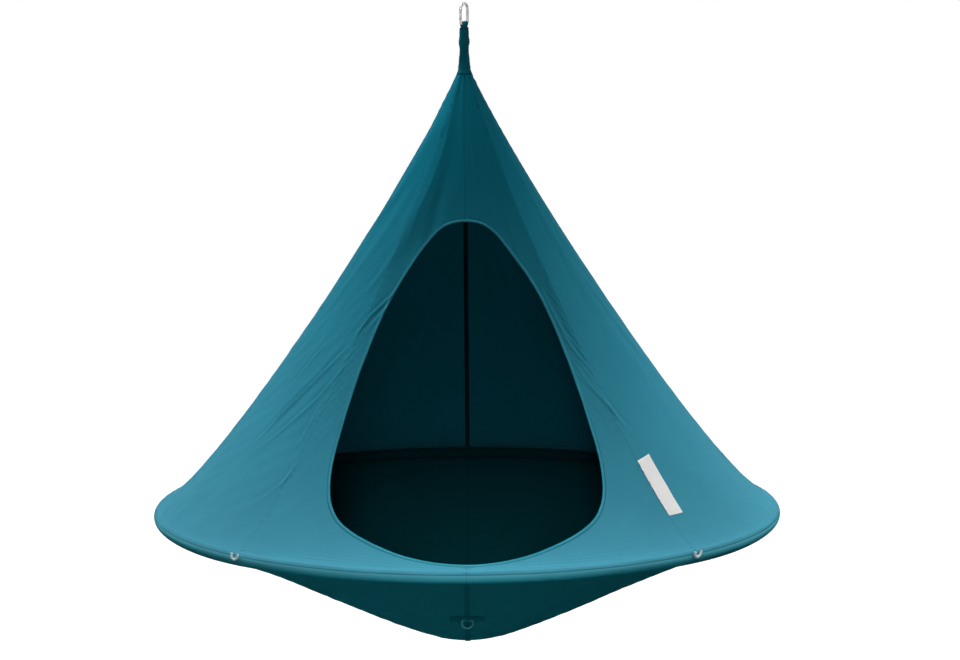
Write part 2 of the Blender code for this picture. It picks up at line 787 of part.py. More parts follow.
def hook_cylinder(name, low, high, radius, sides, upright):
    """Cylinder along the gate, or along its hinge pin, at the gate's line."""
    if upright:
        path = [hook_place(HOOK_HALF_WIDTH, low), hook_place(HOOK_HALF_WIDTH, high)]
        return tube(name, path, radius, sides, steel, across=HOOK_NORMAL)
    path = [hook_place(HOOK_HALF_WIDTH, GATE_PIVOT_RISE, side) for side in (low, high)]
    return tube(name, path, radius, sides, steel, across=HOOK_AXIS)


def coil(name, low, finish):
    """Gate spring: an open coil standing in the gate's bore."""
    steps = SPRING_TURNS * 8
    loops = []
    for step in range(steps + 1):
        turn = 2 * math.pi * step / 8
        rise = low + SPRING_WIRE + (SPRING_LENGTH - 2 * SPRING_WIRE) * step / steps
        out = HOOK_AXIS * math.cos(turn) + HOOK_NORMAL * math.sin(turn)
        centre = hook_place(HOOK_HALF_WIDTH, rise) + out * SPRING_RADIUS
        loops.append([centre + SPRING_WIRE * (out * math.cos(a) + Vector((0, 0, math.sin(a))))
                      for a in [math.pi / 2 * side for side in range(4)]])
    verts = [vert for loop in loops for vert in loop]
    faces = ring_walls(loops, False) + [(0, 1, 2, 3), tuple(range(4 * steps, 4 * steps + 4))]
    return add_object(name, verts, faces, finish)


# Sling and sleeve

SLING_TOP_Z = ROD_Z + HOOK_ROD + GAP + SLING_THICKNESS
SLING_END_Z = CANOPY_HEIGHT - SLING_TAIL_INSIDE - RING_DROP
HEM_Z = CANOPY_HEIGHT + SLEEVE_HEM_LIFT - RING_DROP
TWIST_START_Z = ROD_Z - SLEEVE_TWIST_TOP


def sling_turn(height):
    """How far the sling has turned from the hook's plane at this height, in radians."""
    share = min(1.0, max(0.0, (TWIST_START_Z - height) / SLEEVE_TWIST_LENGTH))
    return -math.radians(SLEEVE_TWIST) * share * share * (3 - 2 * share)


def sling_place(point, across):
    """Point of the sling from (distance square to the strap, height) and across it."""
    normal, height = point
    turn = Matrix.Rotation(sling_turn(height), 3, "Z")
    flat = turn @ (HOOK_NORMAL * normal + HOOK_AXIS * across)
    return flat + Vector((0, 0, height))


def sling(name, finish):
    """Doubled webbing: an eye round the hook's bow, then both legs sewn face to face."""
    bore = HOOK_ROD + GAP
    outer = bore + SLING_THICKNESS
    tip = ROD_Z - SLING_JOIN_DROP
    turns = [math.radians(-30 + 240 * step / 12) for step in range(13)]
    outside = [(outer * math.cos(a), ROD_Z + outer * math.sin(a)) for a in turns]
    inside = [(bore * math.cos(a), ROD_Z + bore * math.sin(a)) for a in turns]
    points = [(SLING_THICKNESS, tip)] + outside + [(-SLING_THICKNESS, tip), (0.0, tip)] + inside
    count = len(turns)
    join = count + 2
    faces = [(0, 1, join + 1, join)]
    faces += [(i, i + 1, join + i + 1, join + i) for i in range(1, count)]
    faces += [(count, count + 1, join, join + count)]
    heights = [tip - SLING_JOIN_DROP]
    heights += [TWIST_START_Z - SLEEVE_TWIST_LENGTH * step / TWIST_ROWS
                for step in range(TWIST_ROWS + 1)]
    heights += [SLING_END_Z]
    above = (0, join, count + 1)
    for height in heights:
        here = len(points)
        points += [(SLING_THICKNESS, height), (0.0, height), (-SLING_THICKNESS, height)]
        faces += [(above[0], above[1], here + 1, here), (above[1], above[2], here + 2, here + 1)]
        above = (here, here + 1, here + 2)
    return slab(name, points, faces, sling_place, 0.5 * SLING_WIDTH, -0.5 * SLING_WIDTH, finish)


def sleeve_loop(height, half_width, half_thickness, power):
    """Cross-section of the sleeve: a rounded oblong, turned with the sling."""
    loop = []
    for side in range(SLEEVE_SIDES):
        angle = 2 * math.pi * (side + 0.5) / SLEEVE_SIDES
        c, s = math.cos(angle), math.sin(angle)
        across = half_width * math.copysign(abs(c) ** (2 / power), c)
        normal = half_thickness * math.copysign(abs(s) ** (2 / power), s)
        loop.append(sling_place((normal, height), across))
    return loop


def sleeve(name, finish):
    """Fabric sleeve over the sling, ending in a flared hem over the canopy's collar."""
    half = 0.5 * SLING_WIDTH + SLEEVE_EASE
    thick = SLING_THICKNESS + SLEEVE_EASE
    collar_z = CANOPY_HEIGHT + COLLAR_LENGTH - RING_DROP
    twist_end = TWIST_START_Z - SLEEVE_TWIST_LENGTH
    bulge = crease_factor(0.0, seam_azimuth(1, 0.0)) / math.cos(math.pi / SLEEVE_SIDES)
    hem = canopy_line.at(canopy_line.at_height(HEM_Z + RING_DROP))[0] * bulge + GAP
    collar = COLLAR_RADIUS * bulge + GAP
    rings = [
        (ROD_Z - SLEEVE_TOP_DROP, half, thick + 0.0014, 3.6),
        (ROD_Z - SLEEVE_TOP_DROP - 0.008, half, thick, 3.6),
        (0.5 * (ROD_Z - SLEEVE_TOP_DROP + TWIST_START_Z), half + 0.0004, thick + 0.0006, 3.4),
    ]
    rings += [(TWIST_START_Z - SLEEVE_TWIST_LENGTH * step / TWIST_ROWS, half, thick, 3.4)
              for step in range(TWIST_ROWS)]
    rings += [
        (max(twist_end, collar_z + 0.004), max(half, collar), 0.5 * (thick + collar), 2.6),
        (collar_z + GAP, collar, collar, 2.0),
        (HEM_Z, hem, hem, 2.0),
    ]
    outer = [sleeve_loop(z, w + FABRIC, t + FABRIC, power) for z, w, t, power in rings]
    inner = [sleeve_loop(z, w, t, power) for z, w, t, power in rings]
    return hollow_loft(name, outer, inner, finish)


# Build

for old in list(bpy.data.objects):
    bpy.data.objects.remove(old, do_unlink=True)

canopy_cloth = material("canopy_cloth", srgb(44, 122, 143), 0.8)
bowl_cloth = material("bowl_cloth", srgb(24, 88, 102), 0.85)
binding_tape = material("binding_tape", srgb(58, 152, 176), 0.75)
dark_strap = material("dark_strap", srgb(9, 48, 58), 0.8)
white_cord = material("white_cord", srgb(228, 238, 240), 0.6)
label_cloth = material("label_cloth", srgb(214, 214, 214), 0.7)
aluminium = material("aluminium", srgb(190, 192, 195), 0.35, 1.0)
steel = material("steel", srgb(205, 205, 208), 0.2, 1.0)

# Snap hook body, with the hinge tongue and the nose's tooth
rod_path, nose_rise = hook_path()
hook = tube("carabiner_body", [hook_place(*point) for point in rod_path], HOOK_ROD, 12, steel,
            across=HOOK_NORMAL)
cut(hook, hook_plate(HOOK_CORNER, GATE_PIVOT_RISE, TONGUE_RADIUS, TONGUE_THICKNESS, True), "UNION")
cut(hook, hook_plate(nose_rise - NOSE_TOOTH_LENGTH, nose_rise + 2 * HOOK_ROD, 0.6 * HOOK_ROD,
                     NOSE_TOOTH_THICKNESS, False), "UNION")
cut(hook, hook_cylinder("bore", -GATE_RADIUS, GATE_RADIUS, PIN_RADIUS + GAP, 12, False))

# Gate, slotted over the tongue and the tooth, with a bore for its spring
gate_low = GATE_PIVOT_RISE - GATE_PIVOT_END
gate_high = gate_low + GATE_LENGTH
slot_top = GATE_PIVOT_RISE + TONGUE_RADIUS + GAP
gate = hook_cylinder("carabiner_gate", gate_low, gate_high, GATE_RADIUS, 12, True)
cut(gate, hook_plate(gate_low - GAP, slot_top, 1.5 * GATE_RADIUS,
                     TONGUE_THICKNESS + 2 * GAP, False))
cut(gate, hook_plate(nose_rise - NOSE_TOOTH_LENGTH - GAP, gate_high + GAP, 1.5 * GATE_RADIUS,
                     NOSE_TOOTH_THICKNESS + 2 * GAP, False))
cut(gate, hook_cylinder("bore", slot_top - GAP, slot_top + SPRING_LENGTH + 2 * GAP,
                        SPRING_RADIUS + SPRING_WIRE + GAP, 10, True))
cut(gate, hook_cylinder("bore", -2 * GATE_RADIUS, 2 * GATE_RADIUS, PIN_RADIUS + GAP, 12, False))
hook_cylinder("carabiner_gate_pin", -0.95 * GATE_RADIUS, 0.95 * GATE_RADIUS, PIN_RADIUS, 12, False)
coil("carabiner_gate_spring", slot_top + GAP, steel)

# Sling and sleeve
sling("sling_webbing", dark_strap)
sleeve("sling_sleeve", canopy_cloth)

# Canopy gores, clockwise from the doorway as seen from below
front_gore("canopy_gore_front_right", 1, canopy_cloth)
for place, gore_name in enumerate((
        "canopy_gore_right_front", "canopy_gore_right_back", "canopy_gore_back_right",
        "canopy_gore_back_left", "canopy_gore_left_back", "canopy_gore_left_front"), 1):
    canopy_gore(gore_name, place, canopy_cloth)
front_gore("canopy_gore_front_left", -1, canopy_cloth)
door_binding("door_binding", binding_tape)

# Seam straps
seam_strap("seam_strap_front", 0, front_strap_stations(), dark_strap)
for place, strap_name in enumerate((
        "seam_strap_front_right", "seam_strap_right", "seam_strap_back_right",
        "seam_strap_back", "seam_strap_back_left", "seam_strap_left",
        "seam_strap_front_left"), 1):
    seam_strap(strap_name, place, strap_stations(), dark_strap)

# Ring tubes start 30 degrees to the right of the doorway, ferrules bridge their joints
section = 360 / RING_TUBE_COUNT
joint_gap = half_gap(RIM_CENTRE)
ferrule_half = math.degrees(0.5 * FERRULE_LENGTH / RIM_CENTRE)
ferrule_outer = RING_TUBE_RADIUS - RING_TUBE_WALL - GAP
for count in range(RING_TUBE_COUNT):
    start = 0.5 * section + count * section
    ring_arc(f"ring_tube_{count + 1}", RING_TUBE_RADIUS, RING_TUBE_RADIUS - RING_TUBE_WALL,
             start + joint_gap, start + section - joint_gap, aluminium)
    ring_arc(f"ring_ferrule_{count + 1}", ferrule_outer, ferrule_outer - FERRULE_WALL,
             start - ferrule_half, start + ferrule_half, aluminium)
for quarter, side_name in enumerate(("front_right", "back_right", "back_left", "front_left")):
    ring_arc(f"ring_pocket_{side_name}", POCKET_OUTER, POCKET_INNER,
             90 * quarter + joint_gap, 90 * quarter + 90 - joint_gap, dark_strap)
    bowl_panel(f"bowl_panel_{side_name}", quarter, bowl_cloth)

# Anchor and the bowl's seam tapes
anchor_along, anchor_spot, anchor_down, anchor_out = anchor_frame()
bowl_end = bowl_line.stations[-1]
patch_top = anchor_along - 0.5 * PATCH_LENGTH
patch_foot = anchor_along + 0.5 * PATCH_LENGTH
tape_stop = float(bowl_line.along[np.argmin(abs(bowl_line.points[:, 0]
                                                - 0.5 * BOWL_TAPE_WIDTH - GAP))])
bowl_tape("bowl_tape_front", 0, BOWL_TOUCH_ALONG, patch_top - GAP, False, dark_strap)
bowl_tape("bowl_tape_back", 0, patch_foot + GAP, bowl_end, True, dark_strap)
bowl_tape("bowl_tape_right", 90, BOWL_TOUCH_ALONG, tape_stop, False, dark_strap)
bowl_tape("bowl_tape_left", 270, BOWL_TOUCH_ALONG, tape_stop, False, dark_strap)
anchor_patch("anchor_patch", anchor_along, dark_strap)

keeper_inside, keeper_outside = keeper_outline()
bar_drop = GAP * 2 + PATCH_THICKNESS + D_RING_WIRE + GAP + KEEPER_THICKNESS
bar_spot = anchor_spot + anchor_out * bar_drop
keeper_points = keeper_outside + keeper_inside


def keeper_place(point, across):
    """Section point: first number runs downhill, second towards the bowl."""
    return bar_spot + anchor_down * point[0] - anchor_out * -point[1] + Vector((across, 0, 0))


slab("anchor_keeper", keeper_points, grid_faces(2, len(keeper_outside)), keeper_place,
     -0.5 * KEEPER_WIDTH, 0.5 * KEEPER_WIDTH, dark_strap)
bow = [bar_spot + point for point in half_ring(D_RING_WIDTH, D_RING_STRAIGHT)]
tube("anchor_d_ring", bow, D_RING_WIRE, 8, steel, closed=True, across=Vector((0, 1, 0)))

# Tie loops on the four corner seams
for azimuth, loop_name in ((45, "front_right"), (135, "back_right"),
                           (225, "back_left"), (315, "front_left")):
    reach = RING_RADIUS + GAP + LOOP_CORD_RADIUS
    half = 0.5 * LOOP_WIDTH - LOOP_CORD_RADIUS
    turn = Matrix.Rotation(math.radians(azimuth), 3, "Z")
    flat = [(-half, 0.0)] + [(half * -math.cos(a), -LOOP_LEG - half * math.sin(a))
                             for a in [math.pi * step / 10 for step in range(11)]] + [(half, 0.0)]
    top = RIM_RADIUS * math.sin(math.radians(LOOP_TOP_ANGLE))
    line = [turn @ Vector((x, -reach, z + top - RING_DROP)) for x, z in flat]
    tube(f"tie_loop_{loop_name}", line, LOOP_CORD_RADIUS, 8, white_cord,
         across=turn @ Vector((0, -1, 0)))

label("label", label_cloth)
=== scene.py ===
"""The look of the cocoon hammock: its cloth, tapes, cords and snap hook, around the frame.

Lengths are in metres. Azimuths are in degrees from the front, growing to the right. The cloth
is placed by its length along a half section of the tent and by its azimuth."""

import math

import bmesh
import bpy
import numpy as np
from mathutils import Matrix, Vector


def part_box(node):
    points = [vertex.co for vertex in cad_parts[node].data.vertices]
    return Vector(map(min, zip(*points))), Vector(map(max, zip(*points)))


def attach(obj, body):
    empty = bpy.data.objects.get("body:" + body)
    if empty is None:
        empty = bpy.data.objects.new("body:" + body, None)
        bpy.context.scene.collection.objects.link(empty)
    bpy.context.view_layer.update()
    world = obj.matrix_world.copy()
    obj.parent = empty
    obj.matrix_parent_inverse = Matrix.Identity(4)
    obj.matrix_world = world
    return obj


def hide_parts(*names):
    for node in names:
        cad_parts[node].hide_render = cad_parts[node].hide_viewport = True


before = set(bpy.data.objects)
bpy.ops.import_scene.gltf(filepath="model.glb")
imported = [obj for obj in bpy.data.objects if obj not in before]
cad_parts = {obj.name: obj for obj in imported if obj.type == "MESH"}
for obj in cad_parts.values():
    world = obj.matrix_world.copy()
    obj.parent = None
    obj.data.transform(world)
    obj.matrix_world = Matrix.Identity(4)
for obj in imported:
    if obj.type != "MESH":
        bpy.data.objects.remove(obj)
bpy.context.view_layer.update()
bpy.ops.object.select_all(action="DESELECT")

# Camera: a long lens 12 m away, higher than the hanging point and tilted down, as in the
# photograph, with the hanging point just left of the picture's middle.
CAMERA_SPOT = (0.0335, -12.0, 1.263)
CAMERA_TILT = math.radians(9.655)
CAMERA_ROLL = math.radians(0.332)
camera_data = bpy.data.cameras.new("camera")
camera_data.lens = 191.36
camera_data.clip_end = 200.0
camera = bpy.data.objects.new("camera", camera_data)
bpy.context.collection.objects.link(camera)
camera.matrix_world = (Matrix.Translation(CAMERA_SPOT)
                       @ Matrix.Rotation(math.pi / 2 - CAMERA_TILT, 4, "X")
                       @ Matrix.Rotation(-CAMERA_ROLL, 4, "Z"))
bpy.context.scene.camera = camera
bpy.context.scene.view_settings.view_transform = "Standard"


def feed(tree, made, sockets):
    """Give each of a node's named sockets its value or its link."""
    for name, value in sockets.items():
        if isinstance(value, bpy.types.NodeSocket):
            tree.links.new(value, made.inputs[name])
        else:
            made.inputs[name].default_value = value


def node(tree, kind, sockets=None, **settings):
    """Add a shader node with its settings and sockets."""
    made = tree.nodes.new("ShaderNode" + kind)
    for name, value in settings.items():
        setattr(made, name, value)
    feed(tree, made, sockets or {})
    return made


def calc(tree, operation, first, second=0.0, third=0.0):
    """One step of arithmetic in a material."""
    return node(tree, "Math", {0: first, 1: second, 2: third}, operation=operation).outputs[0]


def new_finish(name):
    """A new material, its node tree and its main shader."""
    finish = bpy.data.materials.new(name)
    finish.use_nodes = True
    return finish, finish.node_tree, finish.node_tree.nodes["Principled BSDF"]


def noise(tree, place, scale, detail):
    """Soft noise at a place of the surface."""
    sockets = {"Vector": place, "Scale": scale, "Detail": detail}
    return node(tree, "TexNoise", sockets).outputs[0]


def bumped(tree, strength, distance, height):
    """The surface's normal, lifted by a relief."""
    sockets = {"Strength": strength, "Distance": distance, "Height": height}
    return node(tree, "Bump", sockets).outputs[0]


# Studio: a white room. The main soft lamp is high behind the object on the left, so the
# slopes towards the camera stay in soft shade. Narrow lamps lift the rim at both ends, the
# bowl, what shows through the doorway, and the apex.
room = bpy.data.worlds.new("room")
room.use_nodes = True
bpy.context.scene.world = room
tree = room.node_tree
tree.nodes.clear()
rays = node(tree, "LightPath").outputs
seen = calc(tree, "MAXIMUM", rays["Is Glossy Ray"], rays["Is Transmission Ray"])
seen = calc(tree, "MAXIMUM", rays["Is Camera Ray"], seen)
soft = node(tree, "Background", {"Color": (0.86, 0.93, 1.0, 1), "Strength": 0.003})
white = node(tree, "Background", {"Color": (1, 1, 1, 1), "Strength": 1.0})
both = node(tree, "MixShader", {0: seen, 1: soft.outputs[0], 2: white.outputs[0]})
node(tree, "OutputWorld", {"Surface": both.outputs[0]})

# Each lamp: name, place, the spot it points at, width in m, spread in degrees, power in W
LAMPS = (
    ("lamp_main", (-3.1, 2.15, 6.05), (0.0, 0.0, -1.0), 2.2, 180, 490.0),
    ("lamp_rim_left", (-3.4, 0.6, 2.4), (-0.5, -0.2, -1.15), 1.5, 28, 3.4),
    ("lamp_rim_right", (3.4, 0.6, 2.4), (0.5, -0.2, -1.15), 1.5, 28, 7.4),
    ("lamp_front", (-0.1, -4.6, 0.45), (0.0, -0.7, -1.38), 1.0, 14, 1.4),
    ("lamp_inside", (0.05, -8.0, 0.2), (0.0, 0.0, -1.1), 1.0, 16, 0.52),
    ("lamp_top", (-1.6, -5.0, 1.6), (0.0, 0.0, 0.02), 0.5, 7, 0.26),
)
for lamp_name, place, target, size, spread, power in LAMPS:
    lamp_data = bpy.data.lights.new(lamp_name, "AREA")
    lamp_data.shape = "DISK"
    lamp_data.size = size
    lamp_data.spread = math.radians(spread)
    lamp_data.energy = power
    lamp = bpy.data.objects.new(lamp_name, lamp_data)
    bpy.context.collection.objects.link(lamp)
    lamp.location = place
    aim = Vector(target) - Vector(place)
    lamp.rotation_euler = aim.to_track_quat("-Z", "Y").to_euler()

# Floor: a plain pale floor well below the hanging object. It shows as white to the
# camera and keeps the shadow.
FLOOR_HEIGHT = -2.25
bpy.ops.mesh.primitive_plane_add(size=120, location=(0, 0, FLOOR_HEIGHT))
floor = bpy.context.object
floor.name = "floor"
floor_finish, tree, _ = new_finish("floor_finish")
tree.nodes.clear()
paint = node(tree, "BsdfDiffuse", {"Color": (0.30, 0.30, 0.30, 1)})
rays = node(tree, "LightPath").outputs
seen = calc(tree, "MAXIMUM", rays["Is Camera Ray"], rays["Is Glossy Ray"])
glow = node(tree, "Emission", {"Color": (1, 1, 1, 1), "Strength": seen})
both = node(tree, "AddShader", {0: paint.outputs[0], 1: glow.outputs[0]})
node(tree, "OutputMaterial", {"Surface": both.outputs[0]})
floor.data.materials.append(floor_finish)

# Canopy: eight gores of plain-woven cloth, sewn side by side into a cone that hangs from
# the apex and is pulled over the ring. Tension draws it into flats near the top and into
# long slanting creases beside the doorway.
RING_RADIUS = 0.750
RIM_RADIUS = 0.016
RIM_CENTRE = RING_RADIUS - RIM_RADIUS
CANOPY_HEIGHT = 1.0513
RING_DROP = CANOPY_HEIGHT + 0.1677
APEX = np.array((0.0195, CANOPY_HEIGHT))
APEX_SLOPE = math.radians(25.5)
APEX_HANDLE = 0.332
COLLAR = 0.0147
RIM_LEAVES = 68.4
RIM_HANDLE = 0.1355
HEM_ANGLE = 24.0
SEAM_LEAN = 11.0
CORNER_DRAW = 0.22
CLOTH = 0.0009
SEAM_GAP = 0.00004
SHARP_ANGLE = math.radians(50)


def rim_spot(angle):
    """Radius and height of the ring roll's surface at an angle above outward."""
    return np.array((RIM_CENTRE + RIM_RADIUS * math.cos(math.radians(angle)),
                     RIM_RADIUS * math.sin(math.radians(angle))))


def rim_way(angle):
    """Direction round the ring roll, with the angle growing."""
    return np.array((-math.sin(math.radians(angle)), math.cos(math.radians(angle))))


def curve_points(start, leave, arrive, end, count):
    """Points of a cubic curve from its ends and their handles."""
    t = np.linspace(0, 1, count, endpoint=False)[:, None]
    return ((1 - t) ** 3 * start + 3 * (1 - t) ** 2 * t * leave
            + 3 * (1 - t) * t * t * arrive + t ** 3 * end)


def half_section(points):
    """A round sheet's half section: length along it, place, and outward normal."""
    steps = np.linalg.norm(np.diff(points, axis=0), axis=1)
    along = np.concatenate(([0.0], np.cumsum(steps)))
    slope = np.gradient(points, along, axis=0)
    slope /= np.linalg.norm(slope, axis=1)[:, None]
    return along, points[:, 0], points[:, 1], -slope[:, 1], slope[:, 0]


apex_way = np.array((math.sin(APEX_SLOPE), -math.cos(APEX_SLOPE)))
collar_top = APEX - COLLAR * apex_way / math.cos(APEX_SLOPE)
touch = rim_spot(RIM_LEAVES)
COLLAR_STEPS = 20
SLOPE_STEPS = 400
collar_shares = np.linspace(0, 1, COLLAR_STEPS, endpoint=False)[:, None]
canopy_line = half_section(np.concatenate((
    collar_top + (APEX - collar_top) * collar_shares,
    curve_points(APEX, APEX + APEX_HANDLE * apex_way,
                 touch + RIM_HANDLE * rim_way(RIM_LEAVES), touch, SLOPE_STEPS),
    np.array([rim_spot(a) for a in np.linspace(RIM_LEAVES, HEM_ANGLE + 0.5, 30)]),
)))
APEX_ALONG = float(canopy_line[0][COLLAR_STEPS])
TOUCH_ALONG = float(canopy_line[0][COLLAR_STEPS + SLOPE_STEPS])
HEM_ALONG = float(canopy_line[0][-1])


def on_line(line, along):
    """Radius, height and outward normal at a length along a half section."""
    return [np.interp(along, line[0], values) for values in line[1:]]


def along_at(height):
    """Length along the canopy where it has this height above the ring plane."""
    return np.interp(-np.asarray(height), -canopy_line[2], canopy_line[0])


def top_share(along):
    """1 at the apex, falling to 0 at the ring."""
    return np.clip(1 - along / TOUCH_ALONG, 0, 1)


def seam_turn(seam, along):
    """Azimuth of seam 0 to 8; the corner seams lean to the front and back near the top."""
    corner = 45 - SEAM_LEAN * top_share(along) ** 1.5
    quarter, odd = divmod(seam, 2)
    if not odd:
        return 90.0 * quarter + 0 * corner
    return (corner, 180 - corner, 180 + corner, 360 - corner)[quarter]


def signed(azimuth):
    """The same azimuth between -180 and 180 degrees."""
    return (azimuth + 180) % 360 - 180


def rising(x, run):
    """0 up to x = 0, then straight up to 1 at the end of the run."""
    return np.clip(x / run, 0, 1)


def eased(share):
    """A share from 0 to 1 with a soft start and a soft end."""
    return share * share * (3 - 2 * share)


def bump(x, width):
    """Smooth hump of height 1."""
    return np.exp(-(x / width) ** 2)


def patch(turn, height, middle_turn, turn_width, middle_height, height_width):
    """1 in the middle of a patch of cloth, fading out round it."""
    return bump(turn - middle_turn, turn_width) * bump(height - middle_height, height_width)


def waves(u, v, tall, pitch, seed, lean):
    """Uneven soft ripples across u, as a sum of a few slanting waves."""
    draw = np.random.default_rng(seed)
    count = 5
    total = 0 * u
    for _ in range(count):
        slant = draw.uniform(-lean, lean)
        size = 2 * math.pi / (pitch * draw.uniform(0.65, 1.6))
        total = total + np.sin(size * (u + slant * v) + draw.uniform(0, 2 * math.pi))
    return tall * total / math.sqrt(count)


# Creases: each one's height and width in mm, then its knots, from low to high, as (height
# above the ring plane, azimuth)
CREASES = (
    (4.8, 4.6, (0.190, -66.5), (0.207, -64.9), (0.297, -58.9), (0.382, -51.1), (0.473, -42.3),
     (0.482, -41.7)),
    (3.7, 4.6, (0.195, -61.8), (0.209, -60.7), (0.281, -52.7), (0.338, -47.2), (0.430, -41.0)),
    (2.6, 4.6, (0.220, -47.3), (0.251, -45.9), (0.335, -45.2)),
    (2.6, 4.6, (0.095, -51.5), (0.130, -47.5), (0.163, -44.5), (0.215, -43.3)),
    (1.9, 4.6, (0.440, -46.0), (0.470, -43.5), (0.520, -40.1), (0.566, -33.8), (0.600, -30.3)),
    (1.4, 4.2, (0.470, -40.3), (0.505, -37.6), (0.535, -34.6), (0.580, -29.6)),
    (2.0, 9.0, (0.540, -51.5), (0.563, -48.7), (0.609, -44.1), (0.690, -37.5)),
    (2.2, 4.6, (0.320, -66.0), (0.356, -63.7), (0.413, -60.2), (0.470, -56.0)),
    (1.8, 4.5, (0.015, -76.5), (0.022, -77.4), (0.053, -79.8), (0.070, -81.0)),
    (1.6, 4.0, (0.012, -80.5), (0.022, -81.2), (0.055, -84.0)),
    (1.4, 4.0, (0.012, -71.5), (0.030, -73.5), (0.060, -75.0)),
    (4.5, 24.0, (0.660, -84.0), (0.731, -76.2), (0.813, -63.7), (0.942, -53.8), (1.000, -50.0)),
    (2.0, 16.0, (0.480, -74.0), (0.600, -66.0), (0.760, -52.0), (0.860, -46.0)),
    (2.0, 4.5, (0.240, 48.5), (0.294, 44.8), (0.388, 38.9), (0.420, 37.5)),
    (1.6, 4.5, (0.255, 46.5), (0.270, 45.9), (0.370, 41.6), (0.400, 40.4)),
    (1.4, 5.0, (0.400, 41.5), (0.470, 38.0), (0.560, 35.5), (0.600, 35.0)),
    (2.2, 15.0, (0.360, 82.0), (0.399, 79.8), (0.523, 75.5), (0.640, 70.0)),
    (1.6, 4.0, (0.008, 81.4), (0.039, 86.9), (0.055, 88.5)),
    (1.2, 4.0, (0.010, 77.0), (0.035, 80.5), (0.050, 82.0)),
    (0.9, 2.6, (0.972, -66.0), (0.985, -50.0), (1.000, -30.0)),
    (0.8, 2.4, (0.992, -64.0), (1.004, -46.0), (1.018, -24.0)),
    (0.7, 2.2, (1.012, -60.0), (1.030, -34.0)),
    (0.7, 3.0, (0.940, 30.0), (0.975, 22.0), (1.010, 14.0)),
    (2.6, 12.0, (0.180, 122.0), (0.330, 112.0), (0.500, 104.0), (0.640, 99.0)),
    (2.2, 10.0, (0.150, 150.0), (0.300, 158.0), (0.480, 165.0), (0.600, 168.0)),
    (2.4, 10.0, (0.200, 205.0), (0.320, 198.0), (0.450, 193.0), (0.560, 190.0)),
    (3.0, 12.0, (0.160, 245.0), (0.300, 238.0), (0.470, 233.0), (0.620, 230.0)),
    (2.2, 11.0, (0.340, 262.0), (0.480, 256.0), (0.620, 249.0), (0.780, 240.0)),
)
# The free fold left of the doorway, as the knots of its ridge
FOLD = ((0.56, -38.0), (0.697, -34.5), (0.760, -33.0), (0.820, -29.5), (0.908, -26.0),
        (0.960, -28.0), (1.040, -30.0))
ROOF_HALF = 12.0
TIE_DENTS = (-41.5, 49.0, 139.0, 221.0)
# Patches of cloth, as (azimuth, its half width, height, its half width)
DRAWN_LEFT = (47, 9.0, 0.38, 0.15)
DRAWN_RIGHT = (41, 5.0, 0.44, 0.14)
TIE_DENT = (0, 3.0, 0.0175, 0.0035)
# The two sharp folds' roofs: rise for each metre of radius, lowest height, and run
LEFT_ROOF = (0.040, 0.64, 0.12)
RIGHT_ROOF = (0.028, 0.36, 0.30)
# Ripples of the cloth, as (height, pitch, seed of the draw, lean of the waves)
LONG_WAVES = (0.0010, 0.13, 3, 0.18)
CROSS_RIPPLES = (0.0003, 0.075, 5, 0.9)
SEAM_PUCKERS = (0.00045, 0.017, 7, 0.8)
DRAWN_LINES = (0.00034, 0.022, 11, 0.10)
FACET_FOLDS = (0.0005, 0.07, 13, 0.08)
RIM_TUCKS = (0.00030, 0.016, 17, 0.4)
APEX_PUCKERS = (0.0005, 0.016, 19, 0.6)


def creases(along, turn, radius, height):
    """Outward lift of all the creases at a point, in metres."""
    lift = 0 * along
    for tall, wide, *knots in CREASES:
        knot_height, knot_turn = np.array(knots).T
        ridge = np.interp(height, knot_height, knot_turn)
        slant = np.interp(height, knot_height, np.gradient(knot_turn, knot_height))
        shear = np.radians(slant) * radius * 0.75
        across = np.radians(signed(turn - ridge)) * radius / np.sqrt(1 + shear ** 2)
        side = np.sign(shear)
        fade = min(0.09, 0.4 * (knot_height[-1] - knot_height[0]))
        inside = rising(height - knot_height[0], fade) * rising(knot_height[-1] - height, fade)
        width = wide / 1000
        shape = bump(across, width) - 0.55 * bump(across + side * 1.9 * width, 1.3 * width)
        lift += tall / 1000 * shape * eased(inside)
    return lift


